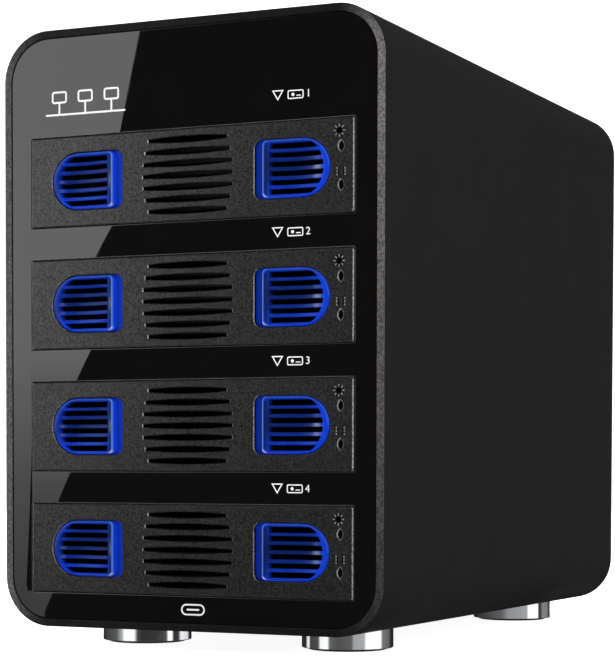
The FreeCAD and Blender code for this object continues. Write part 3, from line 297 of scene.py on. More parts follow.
def blue_material():
    """Saturated blue moulding with a satin skin; a darker blue is painted
    in the hollow as shade, and pale blue and whitish highlights are painted
    on the crest and where the bowl turns up."""
    m, nt, b = new_mat("latch_blue")
    co = objco(nt)
    n = noise(nt, 160.0, 2.0, 0.5, co)
    # painted shade: the shade attribute mixes the bright blue towards the dark
    # navy of r2
    at = nt.nodes.new("ShaderNodeAttribute")
    at.attribute_name = "shade"
    r = ramp(nt, n.outputs["Fac"], 0.3, (0.0045, 0.048, 0.66), 0.7,
             (0.0050, 0.052, 0.70))
    r2 = ramp(nt, n.outputs["Fac"], 0.3, (0.0045, 0.0135, 0.080), 0.7,
              (0.0050, 0.0150, 0.092))
    mix = nt.nodes.new("ShaderNodeMix")
    mix.data_type = "RGBA"
    link(nt, at.outputs["Fac"], mix.inputs[0])
    link(nt, r.outputs["Color"], mix.inputs[6])
    link(nt, r2.outputs["Color"], mix.inputs[7])
    # painted highlight along the crest: glint mixes in a pale blue
    gl = nt.nodes.new("ShaderNodeAttribute")
    gl.attribute_name = "glint"
    gr = ramp(nt, n.outputs["Fac"], 0.3, (0.13, 0.31, 1.0), 0.7,
              (0.17, 0.37, 1.0))
    mix2 = nt.nodes.new("ShaderNodeMix")
    mix2.data_type = "RGBA"
    mix2.clamp_factor = True
    link(nt, gl.outputs["Fac"], mix2.inputs[0])
    link(nt, mix.outputs[2], mix2.inputs[6])
    link(nt, gr.outputs["Color"], mix2.inputs[7])
    # painted highlight: sheen mixes in a whitish colour
    sn = nt.nodes.new("ShaderNodeAttribute")
    sn.attribute_name = "sheen"
    mix3 = nt.nodes.new("ShaderNodeMix")
    mix3.data_type = "RGBA"
    mix3.clamp_factor = True
    link(nt, sn.outputs["Fac"], mix3.inputs[0])
    link(nt, mix2.outputs[2], mix3.inputs[6])
    mix3.inputs[7].default_value = (0.75, 0.80, 0.92, 1)
    link(nt, mix3.outputs[2], b.inputs["Base Color"])
    rr = ramp(nt, n.outputs["Fac"], 0.3, (0.22,) * 3, 0.7, (0.26,) * 3)
    link(nt, rr.outputs["Color"], b.inputs["Roughness"])
    b.inputs["Specular IOR Level"].default_value = 0.24
    b.inputs["Specular Tint"].default_value = (0.30, 0.48, 1.0, 1)
    n2 = noise(nt, 2600.0, 2.0, 0.5, co)
    bump(nt, b, n2.outputs["Fac"], 0.06, 0.00002)
    return m


def drive_material():
    """Cast and lidded drive: bright lid and body; the front end is painted
    near black as shade.
    """
    m, nt, b = new_mat("drive_metal")
    co = objco(nt)
    sp = nt.nodes.new("ShaderNodeSeparateXYZ")
    link(nt, co, sp.inputs["Vector"])
    # painted shade: in front of this depth the drive is near black and not
    # metallic
    st = nt.nodes.new("ShaderNodeMapRange")
    st.inputs["From Min"].default_value = -0.1036
    st.inputs["From Max"].default_value = -0.1030
    link(nt, sp.outputs["Y"], st.inputs["Value"])
    n = noise(nt, 60.0, 3.0, 0.55, co)
    r = ramp(nt, n.outputs["Fac"], 0.3, (0.44, 0.45, 0.46), 0.7,
             (0.54, 0.55, 0.56))
    mix = nt.nodes.new("ShaderNodeMix")
    mix.data_type = "RGBA"
    link(nt, st.outputs["Result"], mix.inputs[0])
    mix.inputs[6].default_value = (0.002, 0.002, 0.002, 1)
    link(nt, r.outputs["Color"], mix.inputs[7])
    link(nt, mix.outputs[2], b.inputs["Base Color"])
    link(nt, st.outputs["Result"], b.inputs["Metallic"])
    g = noise(nt, 1200.0, 3.0, 0.6, co)
    rr = ramp(nt, g.outputs["Fac"], 0.3, (0.32,) * 3, 0.7, (0.46,) * 3)
    link(nt, rr.outputs["Color"], b.inputs["Roughness"])
    sl = nt.nodes.new("ShaderNodeMapRange")
    sl.inputs["To Min"].default_value = 0.02
    sl.inputs["To Max"].default_value = 0.5
    link(nt, st.outputs["Result"], sl.inputs["Value"])
    link(nt, sl.outputs["Result"], b.inputs["Specular IOR Level"])
    bump(nt, b, g.outputs["Fac"], 0.15, 0.00003)
    return m


def chrome_material():
    m, nt, b = new_mat("foot_chrome")
    co = objco(nt)
    mp = nt.nodes.new("ShaderNodeMapping")
    mp.inputs["Scale"].default_value = (0.15, 0.15, 6.0)
    link(nt, co, mp.inputs["Vector"])
    n = noise(nt, 700.0, 2.0, 0.5, mp.outputs["Vector"])
    rr = ramp(nt, n.outputs["Fac"], 0.3, (0.05,) * 3, 0.7, (0.09,) * 3)
    link(nt, rr.outputs["Color"], b.inputs["Roughness"])
    b.inputs["Base Color"].default_value = (0.78, 0.79, 0.81, 1)
    b.inputs["Metallic"].default_value = 1.0
    bump(nt, b, n.outputs["Fac"], 0.05, 0.00002)
    return m


def print_material():
    """Screen-printed white ink, with a faint painted glow."""
    m, nt, b = new_mat("print_white_glow")
    co = objco(nt)
    n = noise(nt, 2200.0, 2.0, 0.5, co)
    r = ramp(nt, n.outputs["Fac"], 0.3, (0.76,) * 3, 0.7, (0.84,) * 3)
    link(nt, r.outputs["Color"], b.inputs["Base Color"])
    b.inputs["Roughness"].default_value = 0.55
    # painted glow: the ink gives off a little light of its own
    b.inputs["Emission Color"].default_value = (1, 1, 1, 1)
    b.inputs["Emission Strength"].default_value = 0.28
    return m


def lens_material():
    m, nt, b = new_mat("light_pipe")
    co = objco(nt)
    n = noise(nt, 300.0, 2.0, 0.5, co)
    rr = ramp(nt, n.outputs["Fac"], 0.3, (0.08,) * 3, 0.7, (0.14,) * 3)
    link(nt, rr.outputs["Color"], b.inputs["Roughness"])
    b.inputs["Base Color"].default_value = (0.0012, 0.0012, 0.0013, 1)
    b.inputs["Specular IOR Level"].default_value = 0.3
    b.inputs["IOR"].default_value = 1.49
    return m


def board_material():
    """Solder mask over a glass-fibre board, with faint copper tracks."""
    m, nt, b = new_mat("board_green")
    co = objco(nt)
    w = nt.nodes.new("ShaderNodeTexWave")
    w.inputs["Scale"].default_value = 220.0
    w.inputs["Distortion"].default_value = 3.0
    w.inputs["Detail"].default_value = 1.0
    link(nt, co, w.inputs["Vector"])
    r = ramp(nt, w.outputs["Fac"], 0.72, (0.004, 0.042, 0.018), 0.78,
             (0.012, 0.085, 0.035))
    link(nt, r.outputs["Color"], b.inputs["Base Color"])
    b.inputs["Roughness"].default_value = 0.32
    bump(nt, b, w.outputs["Fac"], 0.2, 0.00003)
    return m


M_SLEEVE = sleeve_material()
M_RIM = rim_material()
M_TRAY = tray_material()
M_FASCIA = fascia_material()
M_BLUE = blue_material()
M_CHROME = chrome_material()
M_PRINT_GLOW = print_material()
M_LENS = lens_material()
M_BOARD = board_material()
M_FRAME = plastic("frame_black", (0.005, 0.005, 0.0052), 0.55, spec=0.2)
M_SLED = plastic("sled_black", (0.006, 0.006, 0.0062), 0.55, spec=0.18)
M_SOCKET = plastic("socket_black", (0.008, 0.008, 0.008), 0.4)
M_SWITCH = plastic("switch_black", (0.009, 0.009, 0.009), 0.3, coat=0.2)
M_FAN = plastic("fan_black", (0.011, 0.011, 0.011), 0.42)
M_RUBBER = plastic("pad_rubber", (0.008, 0.008, 0.008), 0.75, spec=0.3,
                   grain=900.0, bstr=0.3)
M_DRIVE = drive_material()
# raised marks on the trays: pale pieces painted as lit, near-black pieces
# painted as shade
M_MARK_HIGHLIGHT = plastic("relief_painted_highlight", (0.22, 0.22, 0.22), 0.45)
M_MARK_SHADE = plastic("relief_painted_shade", (0.0008, 0.0008, 0.0008), 0.7, spec=0.02)
M_CAGE = metal("cage_steel", (0.55, 0.56, 0.57), 0.34, vary=0.18)
M_SPRING = metal("spring_steel", (0.55, 0.55, 0.56), 0.25)
M_SCREW = metal("screw_steel", (0.58, 0.58, 0.60), 0.28)
M_SCREWB = metal("screw_black", (0.03, 0.03, 0.031), 0.38)
M_HEAT = metal("heatsink_black", (0.03, 0.03, 0.034), 0.42,
               stretch=(0.1, 1, 1))
M_GUARD = metal("guard_chrome", (0.72, 0.72, 0.74), 0.14, vary=0.05)
M_PORT = metal("socket_metal", (0.66, 0.66, 0.68), 0.24,
               stretch=(1, 0.1, 1))
M_PANEL = plastic("panel_black", (0.014, 0.014, 0.0145), 0.55,
                  grain=2000.0, bstr=0.35, bdist=0.00008)
SLOT_MAT = {
    "sleeve_black": M_SLEEVE, "fascia_gloss": M_FASCIA, "frame_black": M_FRAME,
    "tray_black": M_TRAY, "latch_blue": M_BLUE, "sled_black": M_SLED,
    "spring_steel": M_SPRING, "light_pipe": M_LENS, "drive_metal": M_DRIVE,
    "screw_steel": M_SCREW, "screw_black": M_SCREWB, "cage_steel": M_CAGE,
    "board_green": M_BOARD, "socket_black": M_SOCKET,
    "heatsink_black": M_HEAT, "panel_black": M_PANEL, "fan_black": M_FAN,
    "guard_chrome": M_GUARD, "socket_metal": M_PORT, "switch_black": M_SWITCH,
    "foot_chrome": M_CHROME, "pad_rubber": M_RUBBER,
}
NODE_SLOT = {s["node"]: s["material_slot"] for s in frame["record"]["subparts"]}


# ------------------------------------------------------------------ outlines
def rrect(cx, cz, w, h, r, n=8):
    r = max(r, 1e-3)
    out = []
    for (sx, sz, a0) in ((1, -1, -90), (1, 1, 0), (-1, 1, 90), (-1, -1, 180)):
        ox, oz = cx + sx * (w / 2 - r), cz + sz * (h / 2 - r)
        for k in range(n + 1):
            a = math.radians(a0 + 90.0 * k / n)
            out.append((ox + r * math.cos(a), oz + r * math.sin(a)))
    return out


def flip_x(loop):
    return [(-x, z) for x, z in reversed(loop)]


def dshape(x0, xc, r, q, cz=0.0, n=28, nq=6):
    """Round on the outer side, two soft corners on the inner side."""
    out = []
    for k in range(n + 1):
        a = math.radians(-90 + 180.0 * k / n)
        out.append((xc + r * math.cos(a), cz + r * math.sin(a)))
    for a0, oz in ((90, r - q), (180, -r + q)):
        for k in range(nq + 1):
            a = math.radians(a0 + 90.0 * k / nq)
            out.append((x0 + q + q * math.cos(a), cz + oz + q * math.sin(a)))
    return out


def lens(cx, cz, half, mid, end, n=18):
    m, e = mid / 2, end / 2
    sag = max(m - e, 1e-3)
    rad = (half * half + sag * sag) / (2 * sag)
    ang = math.asin(half / rad)
    out = []
    for k in range(n + 1):
        a = -math.pi / 2 - ang + 2 * ang * k / n
        out.append((cx + rad * math.cos(a), cz + (rad - m) + rad * math.sin(a)))
    for k in range(n + 1):
        a = math.pi / 2 - ang + 2 * ang * k / n
        out.append((cx + rad * math.cos(a), cz - (rad - m) + rad * math.sin(a)))
    return out


def almond(cx, cz, w, h, n=10):
    """Upright slot, pointed at top and bottom."""
    a, b = h / 2, w / 2
    rad = (a * a + b * b) / (2 * b)
    ang = math.asin(min(1, a / rad))
    out = []
    for k in range(n + 1):
        t = -ang + 2 * ang * k / n
        out.append((cx - (rad - b) + rad * math.cos(t), cz + rad * math.sin(t)))
    for k in range(1, n):
        t = math.pi - ang + 2 * ang * k / n
        out.append((cx + (rad - b) + rad * math.cos(t), cz + rad * math.sin(t)))
    return out


def circle(cx, cz, r, n=32):
    return [(cx + r * math.cos(2 * math.pi * k / n),
             cz + r * math.sin(2 * math.pi * k / n)) for k in range(n)]


def grown(loop, d):
    """Loop offset outwards by d (loops run anticlockwise)."""
    n = len(loop)
    out = []
    for i in range(n):
        x0, z0 = loop[i - 1]
        x1, z1 = loop[i]
        x2, z2 = loop[(i + 1) % n]
        e1 = Vector((x1 - x0, z1 - z0))
        e2 = Vector((x2 - x1, z2 - z1))
        if e1.length < 1e-9:
            e1 = e2
        if e2.length < 1e-9:
            e2 = e1
        e1.normalize()
        e2.normalize()
        n1, n2 = Vector((e1.y, -e1.x)), Vector((e2.y, -e2.x))
        m = n1 + n2
        if m.length < 1e-6:
            m = n1
        m.normalize()
        c = max(0.45, m.dot(n1))
        out.append((x1 + m.x * d / c, z1 + m.y * d / c))
    return out


def inside(p, loop):
    x, z = p
    hit = False
    j = len(loop) - 1
    for i in range(len(loop)):
        xi, zi = loop[i]
        xj, zj = loop[j]
        if (zi > z) != (zj > z) and x < (xj - xi) * (z - zi) / (zj - zi) + xi:
            hit = not hit
        j = i
    return hit


# -------------------------------------------------------------- mesh builder
class Build:
    """Collects vertices in millimetres; loops lie in planes of constant y."""

    def __init__(self):
        self.v, self.f = [], []

    def add(self, x, y, z):
        self.v.append((x, y, z))
        return len(self.v) - 1

    def ring(self, loop, y):
        yf = y if callable(y) else (lambda a, b: y)
        return [self.add(x, yf(x, z), z) for x, z in loop]

    def bridge(self, a, b, hole=False):
        n = len(a)
        for i in range(n):
            j = (i + 1) % n
            q = (a[i], b[i], b[j], a[j])
            self.f.append(q[::-1] if hole else q)

    def fill(self, rings, back=False, extra=(), y=0.0):
        """Triangulates between the first ring and the others (holes)."""
        idx, co, edges = [], [], []
        for r in rings:
            s = len(idx)
            idx += r
            co += [Vector((self.v[i][0], self.v[i][2])) for i in r]
            edges += [(s + k, s + (k + 1) % len(r)) for k in range(len(r))]
        loops = [[(self.v[i][0], self.v[i][2]) for i in r] for r in rings]
        yf = y if callable(y) else (lambda a, b: y)
        for x, z in extra:
            if inside((x, z), loops[0]) and not any(
                    inside((x, z), l) for l in loops[1:]):
                idx.append(self.add(x, yf(x, z), z))
                co.append(Vector((x, z)))
        vo, _, fo, ov, _, _ = delaunay_2d_cdt(co, edges, [], 1, 1e-6)
        back_map = []
        for k, o in enumerate(ov):
            back_map.append(idx[o[0]] if o else
                            self.add(vo[k].x, yf(vo[k].x, vo[k].y), vo[k].y))
        for t in fo:
            p = [vo[i] for i in t]
            c = ((p[0].x + p[1].x + p[2].x) / 3, (p[0].y + p[1].y + p[2].y) / 3)
            if not inside(c, loops[0]) or any(inside(c, l) for l in loops[1:]):
                continue
            area = ((p[1].x - p[0].x) * (p[2].y - p[0].y)
                    - (p[2].x - p[0].x) * (p[1].y - p[0].y))
            q = [back_map[i] for i in t]
            if (area < 0) != back:
                q.reverse()
            self.f.append(tuple(q))

    def plate(self, outer, holes, y0, y1, rf=0.5, rb=0.0, seg=3):
        """Flat plate between y0 (front) and y1 with round front edges."""
        def rings(loop, hole):
            nonlocal rf
            s = 1 if hole else -1
            out = []
            for k in range(seg + 1):
                t = math.pi / 2 * k / seg
                out.append(self.ring(grown(loop, s * rf * (1 - math.sin(t))),
                                     y0 + rf * (1 - math.cos(t))))
            if rb:
                out.append(self.ring(loop, y1 - rb))
                out.append(self.ring(grown(loop, s * rb), y1))
            else:
                out.append(self.ring(loop, y1))
            for a, b in zip(out, out[1:]):
                self.bridge(a, b, hole)
            return out[0], out[-1]
        ends = [rings(outer, False)]
        for h in holes:
            if isinstance(h, tuple):
                keep, rf, h = rf, h[0], h[1]
                ends.append(rings(h, True))
                rf = keep
            else:
                ends.append(rings(h, True))
        self.fill([e[0] for e in ends])
        self.fill([e[1] for e in ends], back=True)

    def box(self, x0, x1, y0, y1, z0, z1, r=0.15):
        """Box with bevelled edges."""
        bm = bmesh.new()
        bmesh.ops.create_cube(bm, size=1.0)
        for v in bm.verts:
            v.co = Vector(((x0 + x1) / 2 + v.co.x * (x1 - x0),
                           (y0 + y1) / 2 + v.co.y * (y1 - y0),
                           (z0 + z1) / 2 + v.co.z * (z1 - z0)))
        if r:
            bmesh.ops.bevel(bm, geom=list(bm.edges), offset=r, segments=2,
                            profile=0.5, affect="EDGES")
        self.merge(bm)

    def merge(self, bm):
        s = len(self.v)
        bm.verts.index_update()
        self.v += [tuple(v.co) for v in bm.verts]
        self.f += [tuple(s + v.index for v in f.verts) for f in bm.faces]
        bm.free()

    def sweep(self, path, loop_at):
        """Rings at each (offset, y) of a closed path round a tube."""
        rs = [self.ring(loop_at(o), y) for o, y in path]
        for a, b in zip(rs, rs[1:] + rs[:1]):
            self.bridge(a, b)

    def lathe(self, profile, cx, cy, n=64, axis="z", cap=True):
        """Revolves (radius, height) pairs about an upright line, or about a
        line along y when axis is "y" (then cx, cy mean x and z)."""
        rs = []
        for rad, hgt in profile:
            row = []
            for k in range(n):
                a = 2 * math.pi * k / n
                if axis == "z":
                    row.append(self.add(cx + rad * math.cos(a),
                                        cy + rad * math.sin(a), hgt))
                else:
                    row.append(self.add(cx + rad * math.cos(a), hgt,
                                        cy + rad * math.sin(a)))
            rs.append(row)
        for a, b in zip(rs, rs[1:]):
            self.bridge(a, b)
        if cap:
            self.f.append(tuple(rs[0]))
            self.f.append(tuple(reversed(rs[-1])))

    def done(self, name, mat, body, slot=None, node=None, angle=38.0,
             weighted=True, dress=None):
        me = bpy.data.meshes.new(name)
        me.from_pydata([(x * S, y * S, z * S) for x, y, z in self.v], [],
                       self.f)
        bm = bmesh.new()
        bm.from_mesh(me)
        bmesh.ops.remove_doubles(bm, verts=bm.verts, dist=1e-7)
        bmesh.ops.dissolve_degenerate(bm, edges=bm.edges, dist=1e-8)
        bmesh.ops.recalc_face_normals(bm, faces=bm.faces)
        bm.to_mesh(me)
        bm.free()
        me.polygons.foreach_set("use_smooth", [True] * len(me.polygons))
        me.set_sharp_from_angle(angle=math.radians(angle))
        me.materials.append(mat)
        if dress:
            dress(me)
        o = bpy.data.objects.new(name, me)
        bpy.context.scene.collection.objects.link(o)
        if weighted:
            w = o.modifiers.new("weighted", "WEIGHTED_NORMAL")
            w.keep_sharp = True
            w.weight = 80
        if node:
            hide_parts(node)
        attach(o, body)
        return o


# ------------------------------------------------------------------ springs
def coil_spring(n, side):
    """Latch spring with ground ends."""
    lo, hi = mm("tray_%d_springs" % n)
    x1 = hi[0] if side > 0 else -lo[0]
    x0 = x1 - 5.1
    cy, cz = (lo[1] + hi[1]) / 2, (lo[2] + hi[2]) / 2
    mean, wire, turns, per, around = 1.8, 0.2, 5.5, 26, 10
    m = int(turns * per)
    b = Build()
    prev = None
    for i in range(m + 1):
        t = i / m
        # closed turn at each end, open pitch between
        e = min(1.0, max(0.0, (t * turns - 0.8) / (turns - 1.6)))
        x = x0 + wire + (x1 - x0 - 2 * wire) * (0.93 * e + 0.07 * t)
        a = 2 * math.pi * turns * t
        ca, sa = math.cos(a), math.sin(a)
        ring = []
        for q in range(around):
            u = 2 * math.pi * q / around
            r = mean + wire * math.cos(u)
            ring.append(b.add(side * (x + wire * math.sin(u)), cy + r * ca,
                              cz + r * sa))
        if prev:
            b.bridge(prev, ring)
        else:
            b.f.append(ring[::-1])
        prev = ring
    b.f.append(prev)
    name = "tray_%d_spring_%s" % (n, "right" if side > 0 else "left")
    o = b.done(name, M_SPRING, "tray_%d" % n, node="tray_%d_springs" % n,
               weighted=False)
    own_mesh(o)


for n in (1, 2, 3, 4):
    coil_spring(n, 1)
    coil_spring(n, -1)

# ------------------------------------------------------------------- sleeve
W, H, R = SH[0] - SL[0], SH[2] - SL[2], 16.0
WALL = 2.5


def sleeve_loop(o):
    return rrect(0, MID_Z, W + 2 * o, H + 2 * o, R + o, 20)


b = Build()
y0, y1 = SL[1], SH[1]
path = [(-WALL, y0 + 0.12), (-WALL + 0.04, y0 + 0.03), (-WALL + 0.12, y0),
        (-0.38, y0), (-0.24, y0 + 0.03), (-0.11, y0 + 0.09),
        (-0.03, y0 + 0.19), (0, y0 + 0.34)]
for k in range(1, 12):
    path.append((0, y0 + (y1 - y0) * k / 12))
path += [(0, y1 - 0.5), (-0.05, y1 - 0.27), (-0.18, y1 - 0.12),
         (-0.38, y1 - 0.03), (-0.55, y1), (-WALL + 0.25, y1),
         (-WALL + 0.08, y1 - 0.08), (-WALL, y1 - 0.25)]
for k in range(11, 0, -1):
    path.append((-WALL, y0 + (y1 - y0) * k / 12))
b.sweep(path, sleeve_loop)
for x, z in ((58.07, 189.07), (-58.07, 189.07), (48.0, 13.4), (-48.0, 13.4)):
    b.lathe([(1.5, -100), (4.1, -100), (4.1, 108.7), (1.5, 108.7),
             (1.5, -100)], x, z, n=24, axis="y", cap=False)


def rim_dress(me):
    """Second material on the front rim, with the direction across the cut and
    the painted highlight stored on the mesh."""
    me.materials.append(M_RIM)
    cx, cz = W / 2 - R, H / 2 - R
    me.attributes.new("across", "FLOAT_VECTOR", "POINT")
    me.attributes.new("rim_painted_highlight", "FLOAT", "POINT")
    acr, pol = me.attributes["across"], me.attributes["rim_painted_highlight"]
    for v in me.vertices:
        x, z = v.co.x / S, v.co.z / S - MID_Z
        dx = max(0.0, abs(x) - cx) * (1 if x > 0 else -1)
        dz = max(0.0, abs(z) - cz) * (1 if z > 0 else -1)
        d = math.hypot(dx, dz) or 1.0
        acr.data[v.index].vector = (dx / d, 0, dz / d)
        # painted highlight: bright on the side bands, rising with height on the
        # right and falling with height on the left
        up = min(1.0, max(0.0, (z + H / 2) / H))
        side = abs(dx / d) ** 1.6
        gain = (0.12 + 0.90 * up ** 0.9) if x > 0 else (0.70 - 0.26 * up)
        pol.data[v.index].value = side * gain
    for p in me.polygons:
        c = p.center
        if c.y / S < y0 + 0.2 and p.normal.y < -0.3:
            p.material_index = 1


b.done("sleeve_shell", M_SLEEVE, "chassis", node="outer_sleeve",
       dress=rim_dress)

# ------------------------------------------------------------------- fascia
b = Build()
openings = [rrect(0, z, TRAY_W + 0.5, TRAY_H + 0.5, 0.6, 4) for z in TRAY_Z]
b.plate(rrect(0, MID_Z, FH[0] - FL[0], FH[2] - FL[2], R - WALL - 0.15, 20),
        [(0.22, o) for o in openings], FL[1], FH[1], rf=0.16, seg=2)


def cut_dress(me):
    """Painted highlight on the cut edges above and left of each tray: they
    show paler.
    """
    me.attributes.new("edge", "FLOAT", "FACE")
    at = me.attributes["edge"]
    for p in me.polygons:
        c, q = p.center, p.normal
        v = 0.0
        if -0.97 < q.y < -0.15 and abs(c.x / S) < TRAY_W / 2 + 0.8:
            # painted highlight on bevels facing down and facing right
            v = 1.0 if q.z < -0.3 else 0.8 if q.x > 0.3 else 0.0
            if c.z / S > TRAY_Z[0] + 20 or c.z / S < TRAY_Z[3] - 20:
                v = 0.0
        at.data[p.index].value = v


b.done("fascia_plate", M_FASCIA, "chassis", node="front_fascia",
       dress=cut_dress)

# --------------------------------------------------------------- tray faces
VENT = [(0, 15.65), (1, 15.5), (2, 14.75), (3, 13.65)]
LED_X, LED_Z = 52.6, (5.75, -5.9)


def sunburst(dark, light, cx, cz, y):
    """Status mark: a dark disc in a ring of eight short rays; the rays carry
    a painted highlight, the disc and the dots between them painted shade.
    """
    dark.plate(circle(cx, cz, 0.95, 20), [], y - 0.03, y + 0.1, rf=0.01, seg=1)
    for k in range(8):
        a = math.pi / 4 * k
        c, s_ = math.cos(a), math.sin(a)
        light.plate(stroke(cx + 1.3 * c, cz + 1.3 * s_, cx + 1.75 * c,
                           cz + 1.75 * s_, 0.4), [], y - 0.1, y + 0.1,
                    rf=0.07, seg=1)
        a += math.pi / 8
        c, s_ = math.cos(a), math.sin(a)
        dark.plate(circle(cx + 1.5 * c, cz + 1.5 * s_, 0.2, 8), [], y - 0.02,
                   y + 0.1, rf=0.01, seg=1)


def diskmark(dark, light, cx, cz, y):
    """Disk mark: two upright brackets beside a dark spindle; the brackets
    carry a painted highlight, the spindle painted shade.
    """
    for t in (-1, 1):
        for dz, h in ((0.95, 0.7), (0.0, 0.62), (-0.95, 0.6)):
            light.plate(rrect(cx + t * 1.32, cz + dz, 0.42, h, 0.14, 2), [],
                        y - 0.1, y + 0.1, rf=0.07, seg=1)
        dark.plate(rrect(cx + t * 0.8, cz, 0.34, 2.3, 0.15, 2), [], y - 0.02,
                   y + 0.1, rf=0.01, seg=1)


def stroke(x0, z0, x1, z1, t):
    """Short line with round ends."""
    d = Vector((x1 - x0, z1 - z0)).normalized()
    q = Vector((-d.y, d.x))
    out = []
    for c, a0 in ((Vector((x1, z1)), -90), (Vector((x0, z0)), 90)):
        for k in range(7):
            g = math.radians(a0 + 30 * k)
            out.append(tuple(c + d * math.cos(g) * t / 2
                             + q * math.sin(g) * t / 2))
    return out


GRIP = (23.4, 40.0, 9.1, 2.5)
FACE_T = 1.2
for n, cz in enumerate(TRAY_Z, 1):
    b = Build()
    holes = []
    for i, half in VENT:
        for s in ((1,) if i == 0 else (1, -1)):
            holes.append((0.28, lens(0, cz + s * i * 3.68, half + 0.2, 1.9,
                                     0.8)))
    right = dshape(*GRIP, cz)
    holes += [(0.3, right), (0.3, flip_x(right))]
    for dz in LED_Z:
        holes.append((0.32, almond(LED_X, cz + dz, 1.6, 3.15)))
    b.plate(rrect(0, cz, TRAY_W, TRAY_H, 0.7, 5), holes, FRONT,
            FRONT + FACE_T, rf=0.36, seg=1)
    # skirt, guides, spring seats and bosses behind the plate
    yb = FRONT + FACE_T
    ye = mm("tray_%d_face" % n)[1][1]
    hw = TRAY_W / 2 - 0.4
    for s in (-1, 1):
        b.box(-hw, hw, yb - 0.3, ye, cz + s * 13.0 - 0.8,
              cz + s * 13.0 + 0.8, 0.2)
        for t in (-1, 1):
            b.box(s * (hw - 0.8) - 0.8, s * (hw - 0.8) + 0.8, yb - 0.3, ye,
                  cz + t * 8.8 - 5.0, cz + t * 8.8 + 5.0, 0.2)
            b.box(s * 37.9 - 17.5, s * 37.9 + 17.5, yb - 0.3, -108.2,
                  cz + t * 11.5 - 0.9, cz + t * 11.5 + 0.9, 0.2)
        b.box(s * 16.5 - 0.5, s * 16.5 + 0.5, yb - 0.3, -107.6, cz - 4,
              cz + 4, 0.15)
        b.lathe([(0.95, yb - 0.3), (1.9, yb - 0.3), (1.9, ye), (0.95, ye),
                 (0.95, yb - 0.3)], s * 17.9, cz - s * 8.2, n=20, axis="y",
                cap=False)

    def edge_dress(me, cz=cz):
        """Painted highlight on the rounded edges, strongest at the right."""
        me.attributes.new("edge", "FLOAT", "FACE")
        at = me.attributes["edge"]
        for p in me.polygons:
            c, q = p.center, p.normal
            x, y, z = c.x / S, c.y / S, c.z / S - cz
            v = 0.0
            # painted highlight on front bevels, set by which way each faces:
            # outer edges, grip edges, LED windows and vent ends
            if y < FRONT + 0.38 and -0.97 < q.y < -0.15:
                if abs(x) > TRAY_W / 2 - 0.45 or abs(z) > TRAY_H / 2 - 0.45:
                    v = 0.4 if q.x > 0.3 else 1.0 if q.x < -0.3 else \
                        0.05
                elif 22.9 < abs(x) < 49.6 and abs(z) < 9.6:
                    v = 0.24 if q.x > 0.3 else 0.12 if q.x < -0.3 else 0.07
                elif abs(x - LED_X) < 2:
                    v = 0.6
                elif abs(x) > 12.9 and abs(q.x) > 0.35:
                    v = 0.5 if q.x > 0 else 1.0
            at.data[p.index].value = v

    b.done("tray_face_%d" % n, M_TRAY, "tray_%d" % n,
           node="tray_%d_face" % n, dress=edge_dress)
    dark, light = Build(), Build()
    sunburst(dark, light, 52.05, cz + 10.35, FRONT)
    diskmark(dark, light, 52.65, cz - 1.9, FRONT)
    dark.done("tray_mark_dark_%d" % n, M_MARK_SHADE, "tray_%d" % n,
              slot="tray_black", weighted=False)
    light.done("tray_mark_light_%d" % n, M_MARK_HIGHLIGHT, "tray_%d" % n,
               slot="tray_black", weighted=False)


# ------------------------------------------------------------------ latches
BF, PF, RF = -113.7, -114.9, -112.2    # block front, pad front, floor rear


def smooth(t):
    t = min(1.0, max(0.0, t))
    return t * t * (3 - 2 * t)


def frame_in(x, z):
    """How far inside the crest line a point lies (negative outside)."""
    x0, xc, r, q = 26.7, 40.0, 8.5, 1.3
    if x > xc:
        return r - math.hypot(x - xc, z)
    dx, dz = x - x0, r - abs(z)
    if dx < q and dz < q:
        return q - math.hypot(q - dx, q - dz)
    return min(dx, dz)


def pad_y(x, z):
    """Front surface of the finger pad: a crest that stands proud on the
    inner side, then a shallow bowl, then a rounded outer band."""
    s_ = frame_in(x, z)
    g = 1 - smooth((x - 27.2) / 2.0)
    p = -115.45 + 0.30 * min(1.0, max(0.0, (x - 28.5) / 12.0))
    if x > 40:
        d = 8.95 - math.hypot(x - 40, z)
        p += 0.40 * max(0.0, 1 - d / 2.2) ** 2
    if s_ >= 0:
        lip = 0.52 * g * math.exp(-(s_ / 0.3) ** 2) \
            + 0.06 * (1 - g) * math.exp(-(s_ / 0.2) ** 2)
        bowl = 1.25 * max(0.0, 1 - ((x - 37.8) / 9.6) ** 2
                          - (z / 8.3) ** 2)
        return p - lip + bowl
    t = -s_
    return min(-113.72, p - 0.52 * g - 0.06 * (1 - g) + g * 2.0 * t
               + (1 - g) * 0.3 * (t / 0.45) ** 2)


def pad_shade(x, z):
    """Painted shade: 0 on the bright band, 1 where the ribs are darkest."""
    s_ = frame_in(x, z)
    if s_ < 0.12:
        return 0.12
    v = 0.66 + 0.28 * math.exp(-((z - 0.8) / 3.6) ** 2) \
        - 0.36 * smooth((-z - 2.5) / 5.0)
    v = v + (1.0 - v) * math.exp(-((x - 27.3) / 0.9) ** 2) * 0.8
    if x > 39.6:
        e = math.hypot((x - 39.6) / 7.1, z / 8.6)
        v *= 1 - 0.45 * smooth((e - 0.55) / 0.4)
    out = smooth((s_ - 0.35) / 0.5) if abs(z) > 7.2 or x > 40 else 1.0
    ring = 1.0
    if x > 39.6:
        ring = 1 - smooth((math.hypot((x - 39.6) / 7.1, z / 8.6) - 0.93)
                          / 0.10)
    rail = 0.34 * smooth((abs(z) - 6.9) / 0.6) * (1 - smooth((x - 38) / 4))
    return max(rail, v * out * ring)


def pad_glint(x, z):
    """Light caught along the crest and, weaker, along the upper border."""
    s_ = frame_in(x, z)
    g = 1 - smooth((x - 27.4) / 1.2)
    top = 0.22 if z > 0 else 0.0
    return math.exp(-((s_ + 0.02) / 0.2) ** 2) * (0.85 * g + top * (1 - g))


